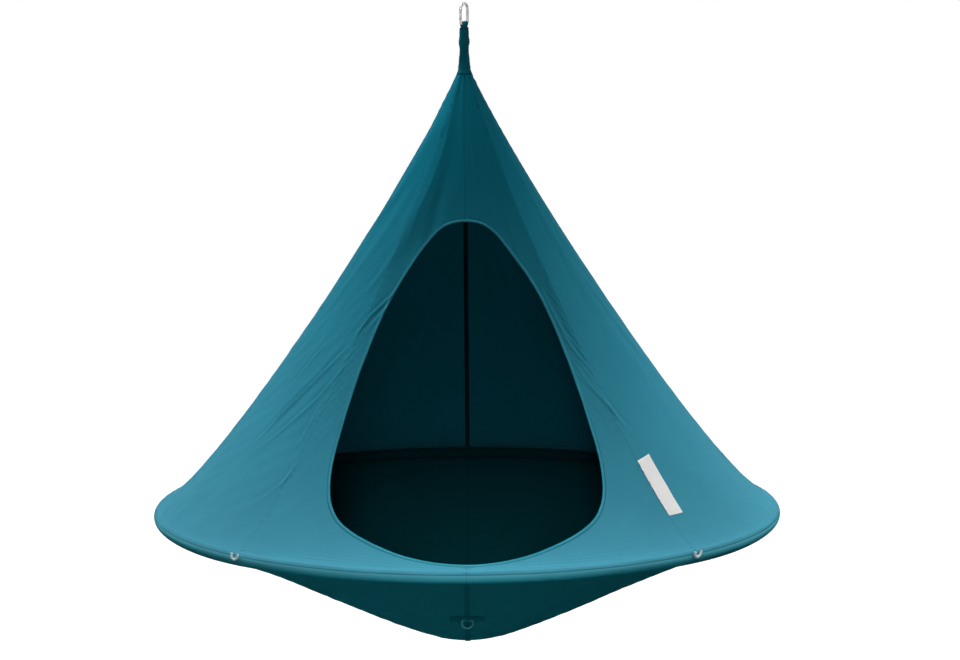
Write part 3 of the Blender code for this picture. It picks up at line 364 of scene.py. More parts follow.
def canopy_lift(along, azimuth):
    """How far the tensioned cloth stands out from the plain cone, in metres."""
    radius, height, _, _ = on_line(canopy_line, along)
    turn = signed(azimuth)
    sweep = np.radians(turn) * 0.5
    gaps = [np.abs(signed(azimuth - seam_turn(seam, along))) for seam in range(8)]
    to_seam = np.radians(np.minimum.reduce(gaps)) * radius
    lift = creases(along, turn, radius, height)
    # Long soft undulations between apex and ring, and finer cross ripples
    body = rising(to_seam, 0.04) * rising(TOUCH_ALONG - along, 0.12)
    body = body * rising(radius, 0.4) ** 1.5
    lift += body * waves(sweep, along, *LONG_WAVES)
    lift += body * waves(along + sweep, sweep, *CROSS_RIPPLES)
    # Sewn seams: a valley on the stitching, a double edge beside it, and small puckers
    lift += -0.0004 * bump(to_seam, 0.0014) + 0.0002 * bump(to_seam - 0.0048, 0.0030)
    pucker = waves(along, to_seam, *SEAM_PUCKERS)
    lift += pucker * np.exp(-to_seam / 0.014) * rising(to_seam, 0.002)
    # Drawn cloth beside the doorway: fine slanting lines, most of them on the left
    drawn = np.abs(sweep) + 0.74 * height
    beside = np.where(turn < 0, patch(-turn, height, *DRAWN_LEFT),
                      patch(turn, height, *DRAWN_RIGHT))
    lift += beside * waves(drawn, height, *DRAWN_LINES)
    # Sharp folds from the apex part the dark front facet from the side ones: a free fold on
    # the left, the seam itself on the right
    knot_height, knot_turn = np.array(FOLD).T
    for ridge, (tall, low, run) in (
            (np.interp(height, knot_height, knot_turn), LEFT_ROOF),
            (seam_turn(1, along), RIGHT_ROOF)):
        roof = np.clip(1 - np.abs(turn - ridge) / ROOF_HALF, 0, 1)
        lift += tall * radius * roof * eased(rising(height - low, run))
    # Flat facet above the doorway, with upright folds
    facet = bump(turn, 30) * rising(height - 0.74, 0.06) * rising(radius, 0.3)
    lift += facet * waves(sweep, height, *FACET_FOLDS)
    # Gathers where the cloth is drawn together under the sleeve
    gather = np.exp(-np.maximum(along - APEX_ALONG, 0) / 0.030) * rising(along, 0.02)
    lift += 0.0007 * gather * np.sin(np.radians(azimuth * 14 + 900 * top_share(along)))
    lift += gather * waves(along, sweep * radius, *APEX_PUCKERS)
    # Tucks along the ring: short radial lines, and a dent above each tie loop
    near = np.exp(-np.maximum(TOUCH_ALONG - along, 0) / 0.035)
    near = near * rising(HEM_ALONG - along, 0.006)
    lift += near * waves(sweep, along, *RIM_TUCKS)
    for middle in TIE_DENTS:
        lift -= 0.0012 * patch(signed(azimuth - middle), height, *TIE_DENT)
    return lift * rising(HEM_ALONG - along, 0.003)


def round_axis(reach, azimuth, height):
    """Points at a reach from the tent's axis and a height above the ring plane."""
    way = np.radians(azimuth)
    return np.stack((reach * np.sin(way), -reach * np.cos(way), height - RING_DROP), axis=1)


def canopy_place(points, lift):
    """Canopy points from (length along, azimuth), lifted outwards."""
    along, azimuth = points[:, 0], points[:, 1]
    radius, height, normal_out, normal_up = on_line(canopy_line, along)
    corner = seam_turn(1, along)
    folded = np.abs((azimuth + 90) % 180 - 90)
    turn = np.where(folded <= corner, 45 * folded / corner,
                    45 * (90 - folded) / (90 - corner))
    drawn = np.cos(np.radians(turn)) ** (-CORNER_DRAW * top_share(along))
    total = lift + canopy_lift(along, azimuth)
    return round_axis(radius * drawn + total * normal_out, azimuth, height + total * normal_up)


def grid_faces(rows, columns, start=0):
    """Quads over a grid of points numbered row by row."""
    first = start + np.arange(rows - 1)[:, None] * columns + np.arange(columns - 1)
    first = first.reshape(-1, 1)
    return (first + np.array((0, 1, columns + 1, columns))).tolist()


def tube_faces(rows, sides, closed=False):
    """Quads round a tube's rows of points; a closed tube's last row meets its first."""
    return [[i * sides + j, i * sides + (j + 1) % sides,
             (i + 1) % rows * sides + (j + 1) % sides, (i + 1) % rows * sides + j]
            for i in range(rows if closed else rows - 1) for j in range(sides)]


def piece_mesh(name, points, faces, maps, finish):
    """A closed mesh with UV maps in metres; a second skin takes the first one's map places."""
    mesh = bpy.data.meshes.new(name)
    mesh.from_pydata(points.tolist(), [], faces)
    loops = np.empty(len(mesh.loops), dtype=np.int32)
    mesh.loops.foreach_get("vertex_index", loops)
    for map_name, values in maps.items():
        layer = mesh.uv_layers.new(name=map_name)
        layer.data.foreach_set("uv", values[loops % len(values)].astype(np.float32).ravel())
    shape = bmesh.new()
    shape.from_mesh(mesh)
    bmesh.ops.recalc_face_normals(shape, faces=shape.faces)
    shape.to_mesh(mesh)
    shape.free()
    mesh.shade_smooth()
    mesh.set_sharp_from_angle(angle=SHARP_ANGLE)
    mesh.materials.append(finish)
    return mesh


def hand_over(piece, body, nodes):
    """Tell the frame which body a piece moves with and the nodes it replaces."""
    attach(piece, body)
    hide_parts(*nodes)


def closed_piece(name, mesh, slot, body, *nodes):
    """Put a piece's finished mesh into the scene."""
    piece = bpy.data.objects.new(name, mesh)
    bpy.context.collection.objects.link(piece)
    hand_over(piece, body, nodes)
    return piece


def cloth_piece(name, faces, outer, inner, maps, finish, slot, body, *nodes, inside_shade=None):
    """One sewn sheet: two skins joined along their edges, with its UV maps in metres."""
    count = len(outer)
    solid = [tuple(face) for face in faces]
    solid += [tuple(count + index for index in face[::-1]) for face in faces]
    edges = {}
    for face in faces:
        for first, second in zip(face, face[1:] + face[:1]):
            if edges.pop((second, first), None) is None:
                edges[(first, second)] = True
    solid += [(second, first, count + first, count + second) for first, second in edges]
    mesh = piece_mesh(name, np.concatenate((outer, inner)), solid, maps, finish)
    # The inner skin's darker finish is painted shade for the inside of the tent
    if inside_shade:
        mesh.materials.append(inside_shade)
        for face in mesh.polygons[len(faces):2 * len(faces)]:
            face.material_index = 1
    return closed_piece(name, mesh, slot, body, *nodes)


def map_place(tree, map_name):
    """A UV map's two measures, in metres."""
    return node(tree, "SeparateXYZ", {0: node(tree, "UVMap", uv_map=map_name).outputs[0]}).outputs


STITCH_INSET = 0.0034
STITCH_PITCH = 0.0034


def sewing(tree, map_name, width):
    """Masks of a sewn edge: the dark line of the seam, and the stitches beside it."""
    gap, run, _ = map_place(tree, map_name)
    line = node(tree, "MapRange", {"Value": gap, "From Min": 0.5 * width, "From Max": width,
                                   "To Min": 1.0, "To Max": 0.0}).outputs[0]
    beside = calc(tree, "ABSOLUTE", calc(tree, "SUBTRACT", gap, STITCH_INSET))
    beside = calc(tree, "LESS_THAN", beside, 0.0005)
    dash = calc(tree, "FRACT", calc(tree, "DIVIDE", run, STITCH_PITCH))
    dash = calc(tree, "LESS_THAN", dash, 0.66)
    return line, calc(tree, "MULTIPLY", beside, dash)


def woven_cloth(name, colour, sewn, thread=0.0008, roughness=0.78, sheen=0.08, through=0.0,
                painted_light=None, tacked=False):
    """Plain-woven cloth: thread relief, slubs, uneven dye, seams, and light let through.

    sewn gives each seam map's dark line: how dark, and how wide. Along the doorway's binding
    and the hem seam between canopy and bowl that line is painted shade. The light ramp paints
    a cloth lighter and paler towards its hem and darker away from it, as painted light (value
    there, its loss per metre and lowest value; strength there and its gain per metre), and a
    tacked one has bars of stitching where its seams meet the hem."""
    finish, tree, shader = new_finish(name)
    place = node(tree, "UVMap", uv_map="cloth").outputs[0]
    split = node(tree, "SeparateXYZ", {0: place})
    turns = [calc(tree, "SINE", calc(tree, "MULTIPLY", split.outputs[i], math.pi / thread))
             for i in (0, 1)]
    weave = calc(tree, "MULTIPLY", *turns)
    dye = noise(tree, place, 7.0, 3.0)
    warp = node(tree, "Mapping", {"Vector": place, "Scale": (260.0, 7.0, 1.0)})
    weft = node(tree, "Mapping", {"Vector": place, "Scale": (7.0, 260.0, 1.0)})
    slubs = [noise(tree, way.outputs[0], 1.0, 2.0) for way in (warp, weft)]
    slub = calc(tree, "ADD", *slubs)
    value = calc(tree, "MULTIPLY_ADD", dye, 0.16, 0.86)
    value = calc(tree, "MULTIPLY_ADD", slub, 0.10, value)
    value = calc(tree, "MULTIPLY_ADD", weave, 0.03, value)
    relief = calc(tree, "MULTIPLY_ADD", slub, 0.6, weave)
    for map_name, (shade, width) in sewn.items():
        line, stitch = sewing(tree, map_name, width)
        value = calc(tree, "MULTIPLY_ADD", line, -shade, value)
        value = calc(tree, "MULTIPLY_ADD", stitch, 0.10, value)
        relief = calc(tree, "MULTIPLY_ADD", stitch, 1.8, relief)
    strength = 1.0
    if painted_light or tacked:
        up, across = (map_place(tree, edge)[0] for edge in ("hem", "seam"))
    # Painted light: the cloth is made lighter and paler towards its hem
    if painted_light:
        light, loss, least, pure, gain = painted_light
        strength = calc(tree, "MINIMUM", calc(tree, "MULTIPLY_ADD", up, gain, pure), 1.0)
        painted_value = calc(tree, "MAXIMUM", calc(tree, "MULTIPLY_ADD", up, -loss, light), least)
        value = calc(tree, "MULTIPLY", value, painted_value)
    if tacked:
        bars = [calc(tree, "LESS_THAN", calc(tree, "ABSOLUTE", calc(tree, "SUBTRACT", up, at)),
                     0.0011) for at in (0.0042, 0.0215)]
        bar = calc(tree, "MULTIPLY", calc(tree, "ADD", *bars),
                   calc(tree, "LESS_THAN", across, 0.0085))
        value = calc(tree, "MULTIPLY_ADD", bar, -0.38, value)
    tint = node(tree, "HueSaturation", {"Saturation": strength, "Value": value,
                                        "Color": (*colour, 1.0)})
    feed(tree, shader, {"Base Color": tint.outputs[0], "Roughness": roughness,
                        "Normal": bumped(tree, 0.35, 0.0002, relief),
                        "Specular IOR Level": 0.2 * sheen, "Sheen Weight": sheen,
                        "Sheen Roughness": 0.45, "Sheen Tint": (0.45, 0.85, 1.0, 1.0)})
    if through:
        glow = node(tree, "BsdfTranslucent", {"Color": (0.02, 0.62, 0.75, 1.0)})
        both = node(tree, "MixShader", {0: through, 1: shader.outputs[0], 2: glow.outputs[0]})
        tree.links.new(both.outputs[0], tree.nodes["Material Output"].inputs["Surface"])
    return finish


CANOPY_COLOUR = (0.004, 0.215, 0.310)
# Painted light on the canopy: lighter and paler towards the hem, where the lamps light the lower
# slopes, and darker towards the apex, which stays in shade
CANOPY_PAINTED_LIGHT = (1.13, 0.40, 0.82, 0.865, 0.13)
CANOPY_THROUGH = 0.055
# The canopy's inner face is a darker copy of its colour: painted shade inside the tent
INSIDE_SHADE_SHARE = 0.83
# HEM_LINE is painted shade: a dark line along the hem seam, where the canopy meets the bowl
HEM_LINE = (0.45, 0.0016)
TAPE_LINE = (0.25, 0.0016)
canopy_inside_shade = woven_cloth("canopy_inside_shade", [INSIDE_SHADE_SHARE * value for value in CANOPY_COLOUR],
                            through=CANOPY_THROUGH, sewn={"seam": (0.10, 0.0016)})
canopy_cloth = woven_cloth("canopy_cloth", CANOPY_COLOUR, through=CANOPY_THROUGH,
                           painted_light=CANOPY_PAINTED_LIGHT, sewn={"seam": (0.12, 0.0020), "hem": HEM_LINE})
SEAM_STEPS = np.array((0.0, 0.0012, 0.0024, 0.0038, 0.0056, 0.0080, 0.0120, 0.0180))


def gore_columns(width, count):
    """Places across a gore, in metres from its first seam: close together at the seams."""
    steps = SEAM_STEPS * min(1.0, 0.4 * width / SEAM_STEPS[-1])
    middle = np.linspace(steps[-1], width - steps[-1], count)
    return np.concatenate((steps[:-1], middle, width - steps[:-1][::-1]))


def panel_points(line, rows, seams, count):
    """(length along, azimuth, gap to the nearest seam) over a panel between its two seams."""
    points = []
    for along in rows:
        first, last = seams(along)
        radius = float(on_line(line, along)[0])
        width = math.radians(last - first) * radius - SEAM_GAP
        place = gore_columns(width, count)
        turn = first + np.degrees((place + SEAM_GAP / 2) / radius)
        nearest = np.minimum(place, width - place)
        points.append(np.stack((np.full_like(place, along), turn, nearest), axis=1))
    return np.concatenate(points)


def canopy_maps(points, to_seam, middle):
    """The cloth, seam and hem maps of canopy points; the cloth runs with the gore's middle."""
    along, azimuth = points.T
    arc = np.radians(azimuth - middle) * on_line(canopy_line, along)[0]
    rim_run = np.radians(azimuth) * RING_RADIUS
    return {"cloth": np.stack((arc, along), axis=1), "seam": np.stack((to_seam, along), axis=1),
            "hem": np.stack((HEM_ALONG - along, rim_run), axis=1)}


# Rows of points down a gore: close together at the gathers and over the ring roll
GATHERED = 0.11
ROLL_ALONG = TOUCH_ALONG - 0.011
canopy_rows = np.concatenate((
    np.linspace(0, GATHERED, 44, endpoint=False),
    np.linspace(GATHERED, ROLL_ALONG, 210, endpoint=False),
    np.linspace(ROLL_ALONG, HEM_ALONG, 13),
))
GORES = ("right_front", "right_back", "back_right", "back_left", "left_back", "left_front")
for seam, side_name in enumerate(GORES, 1):
    columns = 84 if side_name.endswith("_front") else 38
    points = panel_points(canopy_line, canopy_rows, lambda along: [
        float(seam_turn(edge, np.array(along))) for edge in (seam, seam + 1)], columns)
    gore = cloth_piece(
        f"canopy_cloth_{side_name}",
        grid_faces(len(canopy_rows), len(points) // len(canopy_rows)),
        canopy_place(points[:, :2], 0.0), canopy_place(points[:, :2], -CLOTH),
        canopy_maps(points[:, :2], points[:, 2], 45 * seam + 22.5), canopy_cloth,
        "canopy_cloth", "hammock", f"canopy_gore_{side_name}", inside_shade=canopy_inside_shade)

# Doorway gores: the two front gores, each cut away along its half of the doorway, which
# is a rounded arch, widest low down and drawn narrow at the top.
DOOR_HALF_WIDTH = 0.3115
DOOR_OUTLINE = ((0.000, 0.0238), (0.451, 0.0371), (0.831, 0.0742), (0.981, 0.1141),
                (1.000, 0.1807), (0.915, 0.2749), (0.769, 0.3957), (0.579, 0.5194),
                (0.379, 0.6116), (0.186, 0.6777), (0.000, 0.6944))
BINDING_WIDTH = 0.007
CUT_INSET = 0.75 * BINDING_WIDTH
# The dark line along the doorway is a painted shadow beside the binding's edge
door_cloth = woven_cloth("canopy_cloth_front", CANOPY_COLOUR, through=CANOPY_THROUGH,
                         painted_light=CANOPY_PAINTED_LIGHT, tacked=True,
                         sewn={"seam": (0.20, 0.0020), "hem": HEM_LINE,
                               "door": (0.50, 0.0024)})


def door_curve():
    """The doorway's right edge: smooth points of (length along, azimuth)."""
    knots = [np.array(knot) for knot in DOOR_OUTLINE]
    mirror = np.array((-1.0, 1.0))
    knots = [knots[1] * mirror] + knots + [knots[-2] * mirror]
    curve = []
    for a, b, c, d in zip(knots, knots[1:], knots[2:], knots[3:]):
        t = np.linspace(0, 1, 40, endpoint=False)[:, None]
        curve.append(0.5 * (2 * b + (c - a) * t + (2 * a - 5 * b + 4 * c - d) * t ** 2
                            + (3 * b - a - 3 * c + d) * t ** 3))
    curve = np.concatenate(curve + [[DOOR_OUTLINE[-1]]])
    along = along_at(CANOPY_HEIGHT * curve[:, 1])
    radius = on_line(canopy_line, along)[0]
    azimuth = np.zeros_like(along)
    for _ in range(12):
        corner = seam_turn(1, along)
        drawn = np.cos(np.radians(45 * np.minimum(azimuth / corner, 1)))
        drawn = drawn ** (-CORNER_DRAW * top_share(along))
        share = np.clip(DOOR_HALF_WIDTH * curve[:, 0] / (radius * drawn), 0, 1)
        azimuth = np.degrees(np.arcsin(share))
    flat = np.stack((along, np.radians(azimuth) * radius), axis=1)
    run = np.concatenate(([0.0], np.cumsum(np.linalg.norm(np.diff(flat, axis=0), axis=1))))
    slope = np.gradient(flat, run, axis=0)
    outward = np.stack((slope[:, 1], -slope[:, 0]), axis=1)
    outward /= np.linalg.norm(outward, axis=1)[:, None]
    outward[0], outward[-1] = (1.0, 0.0), (-1.0, 0.0)
    return run, along, azimuth, radius, outward[:, 0], outward[:, 1]


door_edge = door_curve()
DOOR_RUN = float(door_edge[0][-1])


def door_place(run, offset):
    """(length along, azimuth) at a run round the doorway's edge, moved into the cloth."""
    along, azimuth, radius, out_along, out_across = [
        np.interp(run, door_edge[0], values) for values in door_edge[1:]]
    return np.stack((along + offset * out_along,
                     azimuth + np.degrees(offset * out_across / radius)), axis=1)


# The gore's mesh runs with the doorway: each point of its edge (sill, jamb and crown, as
# shares of the edge's run) is joined to one of the gore's border (length along, share of the
# way to the seam) through the insets. Below that, rows run straight over the ring roll.
SILL_SHARE, TOP_SHARE = 0.30, 0.955
SILL_STEPS, CROWN_STEPS = 30, 14
DEGREE_LENGTH = 0.0087
NO_DOOR = 9.0
DOOR_STITCH = 0.0018
upper = canopy_rows[canopy_rows <= ROLL_ALONG + 0.0001][::-1]
foot = float(upper[0])
sill_steps = np.linspace(0, 1, SILL_STEPS, endpoint=False)
border = np.concatenate((
    np.stack((np.full(SILL_STEPS, foot), sill_steps), axis=1),
    np.stack((upper[:-1], np.ones(len(upper) - 1)), axis=1),
    np.stack((np.zeros(CROWN_STEPS), np.linspace(1, 0, CROWN_STEPS)), axis=1),
))
shares = np.concatenate((np.linspace(0, SILL_SHARE, SILL_STEPS, endpoint=False),
                         np.linspace(SILL_SHARE, TOP_SHARE, len(upper) - 1, endpoint=False),
                         np.linspace(TOP_SHARE, 1, CROWN_STEPS)))
inset = np.concatenate((np.linspace(0, 0.06, 4, endpoint=False),
                        np.linspace(0.06, 0.90, 34, endpoint=False),
                        (0.90, 0.93, 0.955, 0.975, 0.988, 0.995, 1.0)))
lip_rows = canopy_rows[canopy_rows > foot]
for side, side_name in ((1, "front_right"), (-1, "front_left")):
    corner = seam_turn(1, border[:, 0])
    outside = np.stack((border[:, 0], corner * border[:, 1]), axis=1)
    inside = door_place(shares * DOOR_RUN, CUT_INSET)
    points = [inside + (outside - inside) * share for share in inset]
    lip_shares = np.linspace(0, 1, SILL_STEPS + 1)
    lip = [np.stack((np.full_like(lip_shares, along),
                     seam_turn(1, np.array(along)) * lip_shares), axis=1) for along in lip_rows]
    start = len(inset) * len(shares)
    faces = grid_faces(len(inset), len(shares))
    faces += grid_faces(len(lip_rows), SILL_STEPS + 1, start)
    last_row = start - len(shares)
    faces += [[last_row + i, last_row + i + 1, start + i + 1, start + i]
              for i in range(SILL_STEPS)]
    points = np.concatenate(points + lip)
    radius = on_line(canopy_line, points[:, 0])[0]
    half_gap = np.degrees(0.5 * SEAM_GAP / radius)
    corner = seam_turn(1, points[:, 0])
    turn = np.clip(points[:, 1], half_gap, corner - half_gap)
    to_seam = np.radians(np.minimum(turn, corner - turn)) * radius
    points = np.stack((points[:, 0], side * turn), axis=1)
    maps = canopy_maps(points, to_seam, side * 22.5)
    reach = np.linalg.norm((outside - inside) * np.array((1.0, DEGREE_LENGTH)), axis=1)
    to_door = np.full(len(points), NO_DOOR)
    to_door[:start] = np.repeat(inset, len(shares)) * np.tile(reach, len(inset))
    door_run = np.resize(shares, len(points)) * DOOR_RUN
    maps["door"] = np.stack((to_door - DOOR_STITCH, door_run), axis=1)
    gore = cloth_piece(
        f"canopy_cloth_{side_name}", faces, canopy_place(points, 0.0),
        canopy_place(points, -CLOTH), maps, door_cloth, "canopy_cloth", "hammock",
        f"canopy_gore_{side_name}", inside_shade=canopy_inside_shade)

# Door binding: one long folded tape in a lighter blue, stitched over the cut edge of both
# front gores all the way round the doorway.
binding_cloth = woven_cloth("binding_cloth", (0.030, 0.245, 0.330), thread=0.0007,
                            sewn={"seam": TAPE_LINE})
BINDING_THICK = 0.0026
BINDING_STITCH = 0.0052
BINDING_RIPPLES = (0.00012, 0.012, 23, 0.5)
run = np.linspace(0, DOOR_RUN, 260)
run = np.concatenate((run, 2 * DOOR_RUN - run[-2:0:-1]))
loops, maps = [], []
for angle in np.linspace(0, 2 * math.pi, 15)[:-1]:
    wide = math.copysign(abs(math.cos(angle)) ** 0.55, math.cos(angle))
    thick = math.copysign(abs(math.sin(angle)) ** 0.8, math.sin(angle))
    offset = BINDING_WIDTH * (0.5 + 0.5 * wide)
    place = door_place(np.minimum(run, 2 * DOOR_RUN - run), offset)
    place[:, 1] *= np.where(run <= DOOR_RUN, 1, -1)
    ripple = waves(run, 0 * run, *BINDING_RIPPLES) * abs(math.sin(angle))
    lift = 0.5 * BINDING_THICK * thick + ripple - CLOTH / 2
    loops.append(canopy_place(place, lift))
    gap = STITCH_INSET + abs(offset - BINDING_STITCH)
    maps.append(np.stack((np.full_like(run, gap), run), axis=1))
rings = np.stack(loops, axis=1)
uv = np.stack(maps, axis=1).reshape(-1, 2)
binding = piece_mesh("doorway_binding", rings.reshape(-1, 3),
                     tube_faces(*rings.shape[:2], closed=True), {"cloth": uv, "seam": uv},
                     binding_cloth)
closed_piece("doorway_binding", binding, "binding_tape", "hammock", "door_binding")

# Seam straps: dark twill tape sewn over the inside of each seam, from the apex down to
# the ring pocket. The front one is short and ends above the doorway.
strap_cloth = woven_cloth("strap_cloth", (0.0035, 0.030, 0.040), thread=0.0011,
                          roughness=0.9, sewn={"seam": TAPE_LINE})
STRAP_WIDTH = 0.011
STRAP_THICK = 0.0012
STRAP_DEPTH = CLOTH + 0.0009
strap_foot = TOUCH_ALONG - 0.0105
front_foot = float(door_place(np.array([DOOR_RUN]), BINDING_WIDTH + 0.0006)[0, 0])
STRAPS = ("front", "front_right", "right", "back_right", "back", "back_left", "left",
          "front_left")
STRAP_SHARES = (-1.0, -0.86, -0.4, 0.0, 0.4, 0.86, 1.0)
TWILL = np.array(((0.7, 0.7), (-0.7, 0.7)))
TAPE_STITCH = 0.0018


def tape_maps(across, run, edge, twill=False):
    """A tape's cloth and seam maps, from the places across and along it and its edge's."""
    cloth = np.stack((across, run), axis=1)
    return {"cloth": cloth @ TWILL if twill else cloth,
            "seam": np.stack((edge + STITCH_INSET - TAPE_STITCH, run), axis=1)}


for seam, side_name in enumerate(STRAPS):
    rows = np.linspace(APEX_ALONG, strap_foot if seam else front_foot, 260 if seam else 60)
    radius = on_line(canopy_line, rows)[0]
    middle = seam_turn(seam, rows)
    half = np.minimum(STRAP_WIDTH / 2, 0.35 * radius * math.pi / 4)
    points, edge = [], []
    for share in STRAP_SHARES:
        points.append(np.stack((rows, middle + np.degrees(share * half / radius)), axis=1))
        edge.append(half * (1 - abs(share)))
    points = np.stack(points, axis=1).reshape(-1, 2)
    edge = np.stack(edge, axis=1).ravel()
    sway = np.radians(points[:, 1]) * np.repeat(radius, len(STRAP_SHARES))
    cloth_piece(f"strap_{side_name}", grid_faces(len(rows), len(STRAP_SHARES)),
                canopy_place(points, -STRAP_DEPTH),
                canopy_place(points, -STRAP_DEPTH - STRAP_THICK),
                tape_maps(sway, points[:, 0], edge, twill=True), strap_cloth, "dark_strap",
                "hammock", f"seam_strap_{side_name}")

# Ring pocket: a dark cloth tube, sewn to the hem in four lengths, that the ring is slid
# into. Its inner side is slack and puckered and shows as a dark band inside the tent.
POCKET_RADIUS = 0.0144
POCKET_SIDES = 30
POCKET_REACH = 0.72
POCKET_SLACK = 0.0022
POCKET_PUCKERS = (0.0005, 0.022, 29, 0.5)
QUARTERS = ("front_right", "back_right", "back_left", "front_left")
for quarter, side_name in enumerate(QUARTERS):
    turn = np.linspace(90 * quarter + 0.001, 90 * quarter + 89.999, 121)
    run = np.radians(turn) * POCKET_REACH
    skins, maps = [], []
    for thinner in (0.0, 0.0008):
        loops = []
        for step in range(POCKET_SIDES):
            angle = 2 * math.pi * step / POCKET_SIDES
            slack = max(0.0, -math.cos(angle)) ** 2
            pucker = waves(run, 0 * turn + angle * 0.01, *POCKET_PUCKERS)
            size = POCKET_RADIUS - thinner + slack * (POCKET_SLACK + pucker)
            loops.append(round_axis(RIM_CENTRE + size * math.cos(angle), turn,
                                    size * math.sin(angle)))
            if not thinner:
                maps.append(np.stack((np.full_like(turn, angle * POCKET_RADIUS), run), axis=1))
        skins.append(np.stack(loops, axis=1).reshape(-1, 3))
    uv = np.stack(maps, axis=1).reshape(-1, 2)
    seam_uv = np.stack((np.abs(uv[:, 0] - math.pi * POCKET_RADIUS * 0.55), uv[:, 1]), axis=1)
    cloth_piece(f"pocket_cloth_{side_name}", tube_faces(len(turn), POCKET_SIDES), *skins,
                {"cloth": uv, "seam": seam_uv}, strap_cloth, "dark_strap", "hammock",
                f"ring_pocket_{side_name}")

# Bowl: the tent's floor, four quarter panels of the same cloth sewn into a shallow
# funnel. It wraps up round the ring roll to the hem seam, a little slack at the sides.
BOWL_LEAVES = -74.7
BOWL_DEPTH = 0.3124
BOWL_EYE = 0.003
BOWL_HANDLE = 0.263
EYE_HANDLE = 0.148
WRAP_STEPS = 60
BOWL_SLACK = 0.0035
BOWL_WAVES = (0.0010, 0.13, 31, 0.3)
BOWL_RIPPLES = (0.0003, 0.050, 37, 0.5)
BOWL_PUCKERS = (0.0004, 0.018, 41, 0.4)
bowl_touch = rim_spot(BOWL_LEAVES)
bowl_eye = np.array((BOWL_EYE, -BOWL_DEPTH))
wrap_angles = np.linspace(HEM_ANGLE - 0.5, BOWL_LEAVES, WRAP_STEPS, endpoint=False)
bowl_line = half_section(np.concatenate((
    np.array([rim_spot(a) for a in wrap_angles]),
    curve_points(bowl_touch, bowl_touch - BOWL_HANDLE * rim_way(BOWL_LEAVES),
                 np.array((EYE_HANDLE, -BOWL_DEPTH)), bowl_eye, SLOPE_STEPS),
    [bowl_eye],
)))
BOWL_TOUCH_ALONG = float(bowl_line[0][WRAP_STEPS])
BOWL_END = float(bowl_line[0][-1])


def bowl_along(radius):
    """Length along the bowl where its cloth is this far from the axis."""
    return float(np.interp(-radius, -bowl_line[1][WRAP_STEPS:], bowl_line[0][WRAP_STEPS:]))


def bowl_lift(along, azimuth):
    """How far the bowl's cloth hangs out from its plain shape, in metres."""
    radius = on_line(bowl_line, along)[0]
    turn = signed(azimuth)
    sweep = np.radians(turn) * 0.5
    to_seam = np.radians(np.abs((azimuth + 45) % 90 - 45)) * radius
    run = along - BOWL_TOUCH_ALONG
    slack = bump(np.abs(turn) - 52, 17) * bump(run - 0.010, 0.030)
    lift = BOWL_SLACK * slack - 0.0004 * bump(to_seam, 0.0014)
    # The tapes hold the cloth flat; between them it hangs in soft ripples
    loose = rising(to_seam - 0.009, 0.03) ** 2
    open_cloth = loose * rising(run, 0.05) * eased(rising(BOWL_END - along, 0.14))
    lift += open_cloth * waves(sweep, along, *BOWL_WAVES)
    lift += open_cloth * waves(along, sweep, *BOWL_RIPPLES)
    near = loose * rising(run, 0.004) * np.exp(-np.maximum(run, 0) / 0.03)
    lift += near * waves(sweep, along, *BOWL_PUCKERS)
    return lift


def bowl_place(points, lift):
    """Bowl points from (length along, azimuth), moved out and down."""
    along, azimuth = points[:, 0], points[:, 1]
    radius, height, normal_out, normal_up = on_line(bowl_line, along)
    total = lift + bowl_lift(along, azimuth)
    reach = np.maximum(radius + total * normal_out, BOWL_EYE)
    return round_axis(reach, azimuth, height + total * normal_up)


# Painted light on the bowl: its first 2 cm below the hem, over the ring roll, are painted much
# lighter and paler as a painted highlight; its hem line is painted shade at the hem seam
bowl_cloth = woven_cloth("bowl_cloth", (0.010, 0.220, 0.285), sheen=0.0,
                         painted_light=(1.75, 38.0, 1.0, 0.84, 8.0),
                         sewn={"seam": TAPE_LINE, "hem": (0.45, 0.0012)})
# The floor's inner face is a far darker copy of the bowl cloth: painted shade inside the tent
floor_inside_shade = woven_cloth("floor_inside_shade", (0.002, 0.069, 0.085), sheen=0.0,
                           sewn={"seam": TAPE_LINE})
bowl_rows = np.concatenate((np.linspace(0, BOWL_TOUCH_ALONG, 18, endpoint=False),
                            np.linspace(BOWL_TOUCH_ALONG, BOWL_END, 90)))
for quarter, side_name in enumerate(QUARTERS):
    points = panel_points(bowl_line, bowl_rows,
                          lambda along: (90 * quarter, 90 * quarter + 90), 64)
    arc = np.radians(points[:, 1] - 90 * quarter - 45) * on_line(bowl_line, points[:, 0])[0]
    maps = {"cloth": np.stack((arc, points[:, 0]), axis=1),
            "seam": np.stack((points[:, 2], points[:, 0]), axis=1),
            "hem": np.stack((points[:, 0], arc), axis=1)}
    panel = cloth_piece(
        f"bowl_cloth_{side_name}", grid_faces(len(bowl_rows), len(points) // len(bowl_rows)),
        bowl_place(points[:, :2], 0.0), bowl_place(points[:, :2], -CLOTH), maps, bowl_cloth,
        "bowl_cloth", "hammock", f"bowl_panel_{side_name}", inside_shade=floor_inside_shade)

# Bowl tapes: dark tape over the outside of each bowl seam. The front one stops at the
# anchor patch; the back one runs on from it, across the lowest point and up behind.
TAPE_WIDTH = 0.012
TAPE_THICK = 0.0010
bowl_tape_cloth = woven_cloth("bowl_tape_cloth", (0.003, 0.160, 0.200), thread=0.0011,
                              roughness=0.9, sewn={"seam": (0.45, 0.0022)}, sheen=0.0)
ANCHOR_REACH = 0.338
PATCH_LENGTH = 0.045
TAPE_GAP = 0.0004
TAPE_LIFT = 0.0010
anchor_along = bowl_along(ANCHOR_REACH)
patch_top = anchor_along - PATCH_LENGTH / 2
patch_foot = anchor_along + PATCH_LENGTH / 2
side_stop = bowl_along(TAPE_WIDTH / 2 + TAPE_GAP)
down = np.linspace(BOWL_TOUCH_ALONG, BOWL_END, 80)
side_way = [(v, 1) for v in down if v < side_stop] + [(side_stop, 1)]
